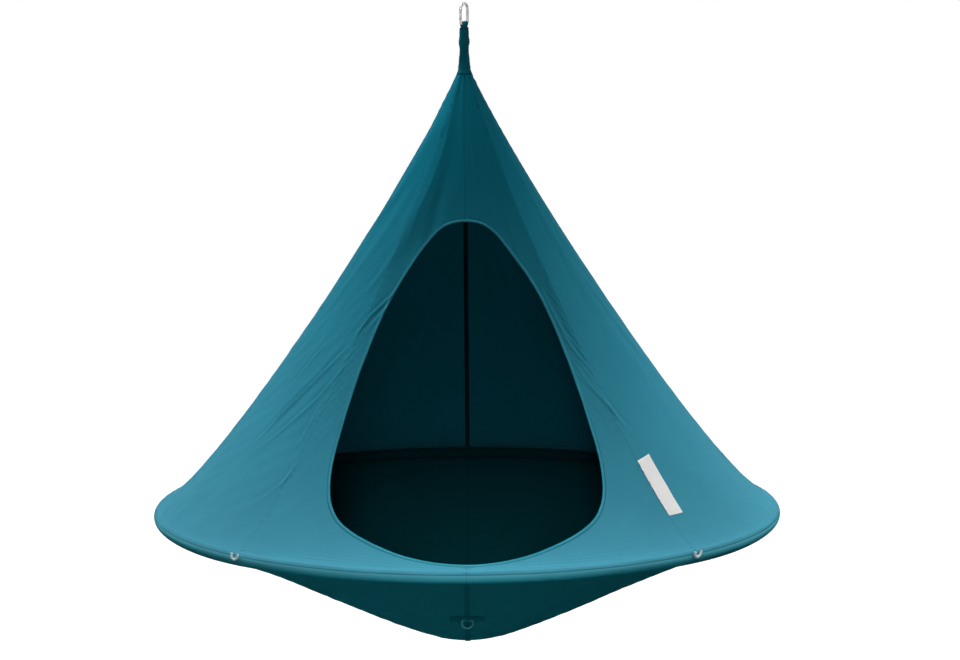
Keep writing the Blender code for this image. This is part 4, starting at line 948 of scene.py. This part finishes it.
# Each tape: name, azimuth, and its places as (length along, 1 on that side or -1 beyond)
TAPES = (
    ("front", 0, [(v, 1) for v in np.linspace(BOWL_TOUCH_ALONG, patch_top - TAPE_GAP, 46)]),
    ("back", 0, [(v, 1) for v in np.linspace(patch_foot + TAPE_GAP, BOWL_END, 40)]
     + [(v, -1) for v in down[::-1]]),
    ("right", 90, side_way),
    ("left", 270, side_way),
)
TAPE_SHARES = (-1.0, -0.86, -0.3, 0.3, 0.86, 1.0)
for side_name, azimuth, places in TAPES:
    along, way = np.array(places).T
    radius, height, normal_out, normal_up = on_line(bowl_line, along)
    travel = np.concatenate(([0.0], np.cumsum(np.hypot(np.diff(radius * way), np.diff(height)))))
    far = np.where(way > 0, azimuth, azimuth + 180)
    skins = []
    for lift in (TAPE_LIFT + TAPE_THICK, TAPE_LIFT):
        total = lift + bowl_lift(along, far)
        reach = (radius + total * normal_out) * way
        level = height + total * normal_up - RING_DROP
        spots = [np.stack((np.full_like(reach, 0.5 * TAPE_WIDTH * share), -reach,
                           level - 0.00015 * (1 - share * share)), axis=1)
                 for share in TAPE_SHARES]
        turn = Matrix.Rotation(math.radians(azimuth), 3, "Z")
        skins.append(np.stack(spots, axis=1).reshape(-1, 3) @ np.array(turn).T)
    across = np.tile(0.5 * TAPE_WIDTH * np.array(TAPE_SHARES), len(along))
    run = np.repeat(travel, len(TAPE_SHARES))
    maps = tape_maps(across, run, TAPE_WIDTH / 2 - np.abs(across), twill=True)
    cloth_piece(f"bowl_seam_tape_{side_name}", grid_faces(len(along), len(TAPE_SHARES)),
                *skins, maps, bowl_tape_cloth, "dark_strap", "hammock",
                f"bowl_tape_{side_name}")

# Anchor patch and keeper: a doubled patch of strap cloth sewn over the front seam, with a
# loop of webbing that holds the D-ring for an anchor cord.
PATCH_WIDTH = 0.080
PATCH_THICK = 0.0012
PATCH_LIFT = 0.0012
PATCH_FOLDS = (0.00035, 0.011, 43, 0.15)
patch_rows = np.linspace(patch_top, patch_foot, 24)
patch_columns = np.linspace(-0.5, 0.5, 40) * PATCH_WIDTH
points = np.array([(along, math.degrees(x / float(on_line(bowl_line, along)[0])))
                   for along in patch_rows for x in patch_columns])
across = np.tile(patch_columns, len(patch_rows))
run = np.repeat(patch_rows, len(patch_columns)) - anchor_along
edge = np.minimum(PATCH_WIDTH / 2 - np.abs(across), PATCH_LENGTH / 2 - np.abs(run))
folds = waves(run, across, *PATCH_FOLDS) * rising(edge, 0.006)
maps = {"cloth": np.stack((across, run), axis=1),
        "seam": np.stack((edge, across + run), axis=1)}
cloth_piece("anchor_patch_cloth", grid_faces(len(patch_rows), len(patch_columns)),
            bowl_place(points, PATCH_LIFT + PATCH_THICK + folds),
            bowl_place(points, PATCH_LIFT), maps, bowl_tape_cloth, "dark_strap", "hammock",
            "anchor_patch")

WIRE = 0.002
KEEPER_WIDTH = 0.014
KEEPER_THICK = 0.0012
ring_low, ring_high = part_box("anchor_d_ring")
bar_spot = Vector((0.0, 0.5 * (ring_low.y + ring_high.y), ring_high.z - WIRE))
ahead, behind = (Vector(bowl_place(np.array([(anchor_along + step, 0.0)]), 0.0)[0])
                 for step in (0.002, -0.002))
downhill = (ahead - behind).normalized()
away = Vector((1, 0, 0)).cross(downhill)
away = away if away.z < 0 else -away
keeper_turns = np.radians(-90 + 300 * np.linspace(0, 1, 25))
keeper_shares = np.array((-1.0, -0.9, -0.4, 0.4, 0.9, 1.0)) * KEEPER_WIDTH / 2


def keeper_skin(radius):
    """One skin of the keeper: flat on the patch, then round the D-ring's bar."""
    outline = [(x, -radius) for x in (-0.012, -0.008, -0.004)]
    outline += [(radius * math.cos(a), radius * math.sin(a)) for a in keeper_turns]
    spots = [bar_spot + downhill * x + away * y + Vector((across, 0, 0))
             for x, y in outline for across in keeper_shares]
    return np.array(spots)


bore = WIRE + 0.0003
inner = keeper_skin(bore)
keeper_steps = len(inner) // len(keeper_shares)
across = np.tile(keeper_shares, keeper_steps)
run = np.repeat(np.linspace(0, 0.024, keeper_steps), len(keeper_shares))
cloth_piece("anchor_keeper_webbing", grid_faces(keeper_steps, len(keeper_shares)),
            keeper_skin(bore + KEEPER_THICK), inner,
            tape_maps(across, run, KEEPER_WIDTH / 2 - np.abs(across)), bowl_tape_cloth,
            "dark_strap", "hammock", "anchor_keeper")

# Anchor ring: steel wire bent cold into a D, butt-welded in its bar and coated in the
# bowl's colour. The keeper holds it by the bar.


def pick(piece):
    """Make a piece the only selected one, and the active one."""
    bpy.ops.object.select_all(action="DESELECT")
    piece.select_set(True)
    bpy.context.view_layer.objects.active = piece


def open_mesh(piece):
    """Put a piece's place into its mesh and open the whole mesh for a change."""
    pick(piece)
    bpy.ops.object.transform_apply(location=True, rotation=True, scale=True)
    bpy.ops.object.mode_set(mode="EDIT")
    bpy.ops.mesh.select_all(action="SELECT")


def finished(piece, finish, slot, body, *nodes):
    """Clean a modelled piece's mesh, give it its finish and tell the frame about it."""
    open_mesh(piece)
    bpy.ops.mesh.remove_doubles(threshold=0.000002)
    bpy.ops.mesh.normals_make_consistent(inside=False)
    bpy.ops.object.mode_set(mode="OBJECT")
    bpy.ops.object.shade_smooth_by_angle(angle=math.radians(40))
    piece.data.materials.clear()
    piece.data.materials.append(finish)
    hand_over(piece, body, nodes)


def bend_rod(name, start, radius, moves, closed, turn=(0, 0, 0), sides=28):
    """Draw a rod by extruding and spinning a circle through the moves; round its open ends."""
    bpy.ops.mesh.primitive_circle_add(vertices=sides, radius=radius, location=start, rotation=turn)
    rod = bpy.context.object
    rod.name = name
    open_mesh(rod)
    for kind, amount, *rest in moves:
        if kind == "go":
            bpy.ops.mesh.extrude_region_move(TRANSFORM_OT_translate={"value": amount})
        else:
            centre, steps = rest
            bpy.ops.mesh.spin(steps=steps, angle=math.radians(amount), center=centre,
                              axis=(0, -1, 0))
    if not closed:
        bpy.ops.mesh.select_all(action="DESELECT")
        bpy.ops.mesh.select_non_manifold()
        bpy.ops.mesh.fill_holes(sides=0)
        bpy.ops.mesh.bevel(offset=0.15 * radius, segments=3, affect="EDGES")
    bpy.ops.object.mode_set(mode="OBJECT")
    return rod


coated_steel, tree, shader = new_finish("coated_steel")
place = node(tree, "TexCoord").outputs["Object"]
grain = noise(tree, place, 700.0, 2.0)
feed(tree, shader, {"Base Color": (0.020, 0.200, 0.240, 1.0), "Specular IOR Level": 0.12,
                    "Roughness": calc(tree, "MULTIPLY_ADD", grain, 0.20, 0.22),
                    "Normal": bumped(tree, 0.15, 0.0001, grain)})
D_HALF = 0.013
D_STRAIGHT = 0.006
D_CORNER = 0.003
d_ring = bend_rod("anchor_ring_rod", (0, 0, 0), WIRE, (
    ("go", (D_HALF - D_CORNER, 0, 0)),
    ("turn", 90, (D_HALF - D_CORNER, 0, -D_CORNER), 7),
    ("go", (0, 0, D_CORNER - D_STRAIGHT)),
    ("turn", 180, (0, 0, -D_STRAIGHT), 28),
    ("go", (0, 0, D_STRAIGHT - D_CORNER)),
    ("turn", 90, (D_CORNER - D_HALF, 0, -D_CORNER), 7),
    ("go", (D_HALF - D_CORNER, 0, 0)),
), True, turn=(0, math.pi / 2, 0), sides=20)
d_ring.location = bar_spot
finished(d_ring, coated_steel, "steel", "anchor_ring", "anchor_d_ring")

# Tie loops: short lengths of white braided cord, doubled over and tacked under the hem on
# the four corner seams, for guy lines.
LOOP_RADIUS = 0.00275
LOOP_HALF = 0.01025
LOOP_LEG = 0.0030
LOOP_TOP = RIM_RADIUS * math.sin(math.radians(56.0))
PLAIT_PITCH = 0.00288
braid, tree, shader = new_finish("white_braid")
round_cord, along_cord, _ = map_place(tree, "cloth")
plaits = []
for lean in (1.0, -1.0):
    ramp = calc(tree, "MULTIPLY_ADD", along_cord, lean, round_cord)
    plaits.append(calc(tree, "SINE", calc(tree, "MULTIPLY", ramp, 2 * math.pi / PLAIT_PITCH)))
plait = calc(tree, "MAXIMUM", *plaits)
value = calc(tree, "MULTIPLY_ADD", plait, 0.08, 0.95)
tint = node(tree, "HueSaturation", {"Value": value, "Color": (0.80, 0.93, 0.95, 1.0)})
feed(tree, shader, {"Base Color": tint.outputs[0], "Roughness": 0.6,
                    "Normal": bumped(tree, 0.6, 0.0004, plait)})


def cord_mesh(name, path, radius, across, sides, finish):
    """A round cord with rounded ends along a flat path, which is square to across."""
    spots, maps = [], []
    travel = 0.0
    last = len(path) - 1
    stations = [(0, -0.0006, 0.6), (0, -0.0002, 0.9)]
    stations += [(index, 0.0, 1.0) for index in range(len(path))]
    stations += [(last, 0.0002, 0.9), (last, 0.0006, 0.6)]
    for index, beyond, share in stations:
        ahead = (path[min(index + 1, last)] - path[max(index - 1, 0)]).normalized()
        inward = across.cross(ahead)
        if beyond == 0 and index:
            travel += (path[index] - path[index - 1]).length
        for side in range(sides):
            angle = 2 * math.pi * side / sides
            out = math.cos(angle) * across + math.sin(angle) * inward
            spots.append(path[index] + ahead * beyond + share * radius * out)
            maps.append((angle * radius, travel + beyond))
    faces = tube_faces(len(stations), sides)
    faces += [list(range(sides))[::-1], list(range(len(spots) - sides, len(spots)))]
    return piece_mesh(name, np.array(spots), faces, {"cloth": np.array(maps)}, finish)


loop_outline = [(-LOOP_HALF, 0.0), (-LOOP_HALF, -LOOP_LEG / 2)]
loop_outline += [(-LOOP_HALF * math.cos(a), -LOOP_LEG - LOOP_HALF * math.sin(a))
                 for a in np.linspace(0, math.pi, 25)]
loop_outline += [(LOOP_HALF, -LOOP_LEG / 2), (LOOP_HALF, 0.0)]
reach = RING_RADIUS + 0.0003 + LOOP_RADIUS
for azimuth, side_name in zip((45, 135, 225, 315), QUARTERS):
    turn = Matrix.Rotation(math.radians(azimuth), 3, "Z")
    path = [turn @ Vector((x + 0.25 * z, -reach, z + LOOP_TOP - RING_DROP))
            for x, z in loop_outline]
    cord = cord_mesh(f"tie_cord_{side_name}", path, LOOP_RADIUS, turn @ Vector((0, -1, 0)),
                     16, braid)
    closed_piece(f"tie_cord_{side_name}", cord, "white_cord", "hammock",
                 f"tie_loop_{side_name}")

# Label: a bare white label woven in one piece, its edges turned under. It is sewn flat on
# the cloth beside the right front seam, and its top edge slants.
LABEL_WIDTH = 0.048
LABEL_SLANT = 0.0105
label_cloth = woven_cloth("label_cloth", (0.75, 0.745, 0.74), thread=0.0005,
                          sewn={"seam": (-0.10, 0.0030)}, sheen=0.0)
label_top, label_foot = float(along_at(0.200)), float(along_at(0.083))
label_rows = np.linspace(label_top, label_foot, 60)
label_columns = np.linspace(0, LABEL_WIDTH, 22)
spots, edge, maps = [], [], []
for along in label_rows:
    radius = float(on_line(canopy_line, along)[0])
    start = float(seam_turn(1, np.array(along))) + math.degrees(0.002 / radius)
    for x in label_columns:
        slant = LABEL_SLANT * x / LABEL_WIDTH * (label_foot - along) / (label_foot - label_top)
        spots.append((along - slant, start + math.degrees(x / radius)))
        maps.append((x, along))
        edge.append(min(x, LABEL_WIDTH - x, along - label_top, label_foot - along))
spots, edge, maps = np.array(spots), np.array(edge), np.array(maps)
puff = 0.0004 * rising(edge, 0.003) ** 0.5
cloth_piece("label_blank", grid_faces(len(label_rows), len(label_columns)),
            canopy_place(spots, 0.0010 + puff), canopy_place(spots, 0.0004),
            {"cloth": maps, "seam": np.stack((edge, maps.sum(axis=1)), axis=1)},
            label_cloth, "label_cloth", "hammock", "label")

# Sling: flat webbing passed round the hook's lower bow and sewn back on itself; the rest
# runs down inside the sleeve and is sewn into the apex.
ROD = 0.0035
HOOK_RISE = 0.048
ROD_Z = ROD - HOOK_RISE
HOOK_TURN = math.radians(33.0)
hook_axis = Vector((-math.sin(HOOK_TURN), -math.cos(HOOK_TURN), 0))
hook_normal = Vector((-hook_axis.y, hook_axis.x, 0))
SLING_WIDTH = 0.0184
SLING_THICK = 0.0024
JOIN_DROP = 0.014
TWIST_TOP = ROD_Z - 0.058
TWIST_LENGTH = 0.030
TWIST = math.radians(57.0)
SLING_END = CANOPY_HEIGHT - 0.006 - RING_DROP


def sling_spot(normal, across, height):
    """Point of the twisting sling from its own two directions and the height."""
    share = min(1.0, max(0.0, (TWIST_TOP - height) / TWIST_LENGTH))
    turn = Matrix.Rotation(-TWIST * eased(share), 3, "Z")
    return turn @ (hook_normal * normal + hook_axis * across) + Vector((0, 0, height))


webbing_cloth = woven_cloth("webbing_cloth", (0.006, 0.160, 0.210), thread=0.0016,
                            sewn={"seam": TAPE_LINE})
bore = ROD + 0.0003
tip = ROD_Z - JOIN_DROP
bow_turns = np.radians(-30 + 240 * np.linspace(0, 1, 33))
leg_heights = list(np.linspace(SLING_END, tip - JOIN_DROP, 40))
leg_heights += [tip - JOIN_DROP * (1 - t) for t in np.linspace(0, 1, 6)][1:]


def sling_path(gap, radius):
    """One face of the doubled webbing: up a leg, over the hook's bow and down again."""
    leg = [(gap, height) for height in leg_heights]
    over = [(radius * math.cos(a), ROD_Z + radius * math.sin(a)) for a in bow_turns]
    return leg + over + [(-x, z) for x, z in leg[::-1]]


outer_path = sling_path(SLING_THICK, bore + SLING_THICK)
inner_path = sling_path(0.00015, bore)
shares = np.array((-1.0, -0.93, -0.75, -0.4, 0.0, 0.4, 0.75, 0.93, 1.0))
skins = []
for path, rounding in ((outer_path, 0.00025), (inner_path, 0.0)):
    spots = []
    for normal, height in path:
        for share in shares:
            ease = rounding if abs(share) == 1 else 0.0
            near = normal - math.copysign(ease, normal) if abs(normal) > ease else normal
            spots.append(sling_spot(near, share * SLING_WIDTH / 2, height))
    skins.append(np.array(spots))
travel = np.cumsum([0.0] + [math.dist(a, b) for a, b in zip(outer_path, outer_path[1:])])
across = np.tile(shares * SLING_WIDTH / 2, len(outer_path))
run = np.repeat(travel, len(shares))
cloth_piece("sling_strap", grid_faces(len(outer_path), len(shares)), *skins,
            tape_maps(across, run, SLING_WIDTH / 2 - np.abs(across)), webbing_cloth,
            "dark_strap", "hammock", "sling_webbing")

# Sleeve: a tube of the canopy's cloth over the sling. It twists with the webbing, and its
# wide lower hem is sewn down over the gathered apex.
SLEEVE_SIDES = 48
# The sleeve's colour is a darker copy of the canopy's: painted shade
sleeve_shaded_cloth = woven_cloth("sleeve_shaded_cloth", (0.004, 0.120, 0.160),
                           sewn={"hem": (0.75, 0.0024)})
half = SLING_WIDTH / 2 + 0.0032
thick = SLING_THICK + 0.0034
collar_z = CANOPY_HEIGHT + COLLAR - RING_DROP
hem_z = CANOPY_HEIGHT + 0.005 - RING_DROP
hem_along = float(along_at(CANOPY_HEIGHT + 0.005))
hem_size = float(on_line(canopy_line, hem_along)[0])
collar_size = float(on_line(canopy_line, 0.0)[0])
# Sections down the sleeve: height, half width, half depth, and how square each is
profile = np.array((
    (ROD_Z - 0.0095, half, thick, 3.0),
    (ROD_Z - 0.0175, half, thick, 2.8),
    (ROD_Z - 0.0450, half + 0.0012, thick + 0.0012, 2.8),
    (TWIST_TOP, half - 0.0004, thick, 2.8),
    (TWIST_TOP - TWIST_LENGTH * 0.5, half - 0.0032, thick - 0.0016, 2.6),
    (collar_z + 0.018, half - 0.0016, thick - 0.0006, 2.6),
    (collar_z + 0.008, half + 0.0006, 0.5 * (thick + collar_size), 2.4),
    (collar_z, collar_size, collar_size, 2.1),
    (hem_z, hem_size, hem_size, 2.0),
))[::-1]
heights = np.linspace(profile[-1, 0], hem_z, 90)
skins = {0.0: [], CLOTH: []}
maps = []
for height in heights:
    wide, deep, power = (float(np.interp(height, profile[:, 0], profile[:, i]))
                         for i in (1, 2, 3))
    top_gap, hem_gap = profile[-1, 0] - height, height - hem_z
    turned = 0.0004 * (top_gap < 0.004)
    for side in range(SLEEVE_SIDES):
        angle = 2 * math.pi * (side + 0.5) / SLEEVE_SIDES
        c, s = math.cos(angle), math.sin(angle)
        ripple = 0.0008 * math.sin(4 * angle + 160 * height) * math.sin(110 * height + 2 * angle)
        ripple += 0.0003 * math.sin(9 * angle - 700 * height)
        ripple *= min(1.0, top_gap / 0.006, hem_gap / 0.006)
        for skin, spots in skins.items():
            grow = skin + (turned + abs(ripple) + ripple if skin else 0.0)
            across = (wide + grow) * math.copysign(abs(c) ** (2 / power), c)
            normal = (deep + grow) * math.copysign(abs(s) ** (2 / power), s)
            spots.append(sling_spot(normal, across, height))
        maps.append((angle * 0.009, height, min(top_gap, hem_gap)))
maps = np.array(maps)
for skin, spots in skins.items():
    spots = skins[skin] = np.array(spots)
    azimuth = np.degrees(np.arctan2(spots[:, 0], -spots[:, 1]))
    under = canopy_place(np.stack((along_at(spots[:, 2] + RING_DROP), azimuth), axis=1), 0.0)
    need = np.hypot(under[:, 0], under[:, 1]) + 0.0003 + skin
    grow = np.maximum(1, need / np.hypot(spots[:, 0], spots[:, 1]))
    spots[:, :2] *= np.where(spots[:, 2] < collar_z, grow, 1)[:, None]
cloth_piece("sleeve_tube", tube_faces(len(heights), SLEEVE_SIDES), skins[CLOTH], skins[0.0],
            {"cloth": maps[:, :2], "hem": maps[:, (2, 0)]}, sleeve_shaded_cloth, "canopy_cloth",
            "hammock", "sling_sleeve")

# Snap hook: one rod of stainless steel, bent cold into a long link and polished, with fine
# drawing lines and small rubbed patches that are rougher; its colour is darker and lighter in
# patches, as painted reflections. A flat tongue on its lower end carries the gate's hinge,
# and its nose above ends in a tooth that the gate closes over.
HOOK_HALF = 0.015
HOOK_CORNER = 0.006
HOOK_TOP = 0.033
PIVOT = 0.0115
GATE_RADIUS = 0.0031
GATE_LOW = PIVOT - 0.0025
GATE_HIGH = GATE_LOW + 0.0215
NOSE = GATE_HIGH + 0.0006
HOOK_FOOT = PIVOT - 0.0046
HOOK_FRAME = Matrix(((hook_axis.x, hook_normal.x, 0, 0), (hook_axis.y, hook_normal.y, 0, 0),
                     (0, 0, 1, ROD_Z), (0, 0, 0, 1)))


def lug(low, high, half_width, thickness):
    """Flat lug on the gate's line, with softened edges."""
    bpy.ops.mesh.primitive_cube_add(size=1, location=(HOOK_HALF, 0, (low + high) / 2),
                                    scale=(2 * half_width, thickness, high - low))
    made = bpy.context.object
    open_mesh(made)
    bpy.ops.mesh.bevel(offset=0.0003, segments=2, affect="EDGES")
    bpy.ops.object.mode_set(mode="OBJECT")
    return made


def combine(piece, tool, operation):
    """Join a second shape to a piece, or cut it away, and remove the second shape."""
    pick(piece)
    change = piece.modifiers.new("change", "BOOLEAN")
    change.operation = operation
    change.object = tool
    bpy.ops.object.modifier_apply(modifier=change.name)
    bpy.data.objects.remove(tool, do_unlink=True)


polished_steel, tree, shader = new_finish("polished_steel")
place = node(tree, "TexCoord").outputs["Object"]
stretched = node(tree, "Mapping", {"Vector": place, "Scale": (900.0, 900.0, 60.0)}).outputs[0]
lines = noise(tree, stretched, 1.0, 3.0)
rubbed_and_reflections = noise(tree, place, 180.0, 2.0)
# Painted reflections: the same noise makes the steel's colour darker and lighter in patches
painted_reflections = calc(tree, "MULTIPLY_ADD", rubbed_and_reflections, 1.10, 0.18)
tint = node(tree, "HueSaturation", {"Value": painted_reflections, "Color": (0.58, 0.58, 0.60, 1.0)})
feed(tree, shader, {"Base Color": tint.outputs[0], "Metallic": 1.0,
                    "Roughness": calc(tree, "MULTIPLY_ADD", rubbed_and_reflections, 0.18, 0.12),
                    "Normal": bumped(tree, 0.08, 0.0001, lines)})
flat_half = HOOK_HALF - HOOK_CORNER
hook = bend_rod("hook_rod", (HOOK_HALF, 0, HOOK_FOOT), ROD, (
    ("go", (0, 0, HOOK_CORNER - HOOK_FOOT)),
    ("turn", 90, (flat_half, 0, HOOK_CORNER), 9),
    ("go", (-2 * flat_half, 0, 0)),
    ("turn", 90, (-flat_half, 0, HOOK_CORNER), 9),
    ("go", (0, 0, HOOK_TOP - HOOK_CORNER)),
    ("turn", 180, (0, 0, HOOK_TOP), 32),
    ("go", (0, 0, NOSE - HOOK_TOP)),
), False)
combine(hook, lug(HOOK_CORNER, PIVOT + 0.0020, 0.0026, 0.0022), "UNION")
combine(hook, lug(NOSE - 0.0025, NOSE + ROD, 0.6 * ROD, 0.0018), "UNION")
hook.matrix_world = HOOK_FRAME
finished(hook, polished_steel, "steel", "carabiner", "carabiner_body")

# Gate: a short bored rod, slotted at its lower end for the tongue and at its upper end for
# the nose's tooth. The hinge pin and the return spring are the frame's own pieces.
GATE_SIDES = 28
bpy.ops.mesh.primitive_cylinder_add(vertices=GATE_SIDES, radius=GATE_RADIUS,
                                    depth=GATE_HIGH - GATE_LOW,
                                    location=(HOOK_HALF, 0, (GATE_LOW + GATE_HIGH) / 2))
gate = bpy.context.object
gate.name = "hook_gate"
open_mesh(gate)
bpy.ops.mesh.select_all(action="DESELECT")
bpy.ops.mesh.select_mode(type="FACE")
bpy.ops.mesh.select_face_by_sides(number=GATE_SIDES)
bpy.ops.mesh.bevel(offset=0.0004, segments=3, affect="EDGES")
bpy.ops.mesh.select_mode(type="VERT")
bpy.ops.object.mode_set(mode="OBJECT")
combine(gate, lug(GATE_LOW - 0.001, PIVOT + 0.0032, 0.0050, 0.0028), "DIFFERENCE")
combine(gate, lug(NOSE - 0.0028, GATE_HIGH + 0.001, 0.0050, 0.0024), "DIFFERENCE")
gate.matrix_world = HOOK_FRAME
finished(gate, polished_steel, "steel", "gate", "carabiner_gate")
for name in ("carabiner_gate_pin", "carabiner_gate_spring"):
    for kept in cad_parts[name].material_slots:
        kept.material = polished_steel

# Ring: six curved tubes of drawn aluminium, joined by ferrules that each tube slides on to,
# out of sight in the pocket. These are the frame's own pieces with a finish.
drawn_aluminium, tree, shader = new_finish("drawn_aluminium")
place = node(tree, "TexCoord").outputs["Object"]
grain = noise(tree, place, 900.0, 2.0)
cloud = noise(tree, place, 24.0, 3.0)
feed(tree, shader, {"Base Color": (0.52, 0.53, 0.55, 1.0), "Metallic": 1.0,
                    "Roughness": calc(tree, "MULTIPLY_ADD", cloud, 0.22, 0.26),
                    "Normal": bumped(tree, 0.1, 0.0001, grain)})
for name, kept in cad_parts.items():
    if name.startswith(("ring_tube", "ring_ferrule")):
        for kept_slot in kept.material_slots:
            kept_slot.material = drawn_aluminium
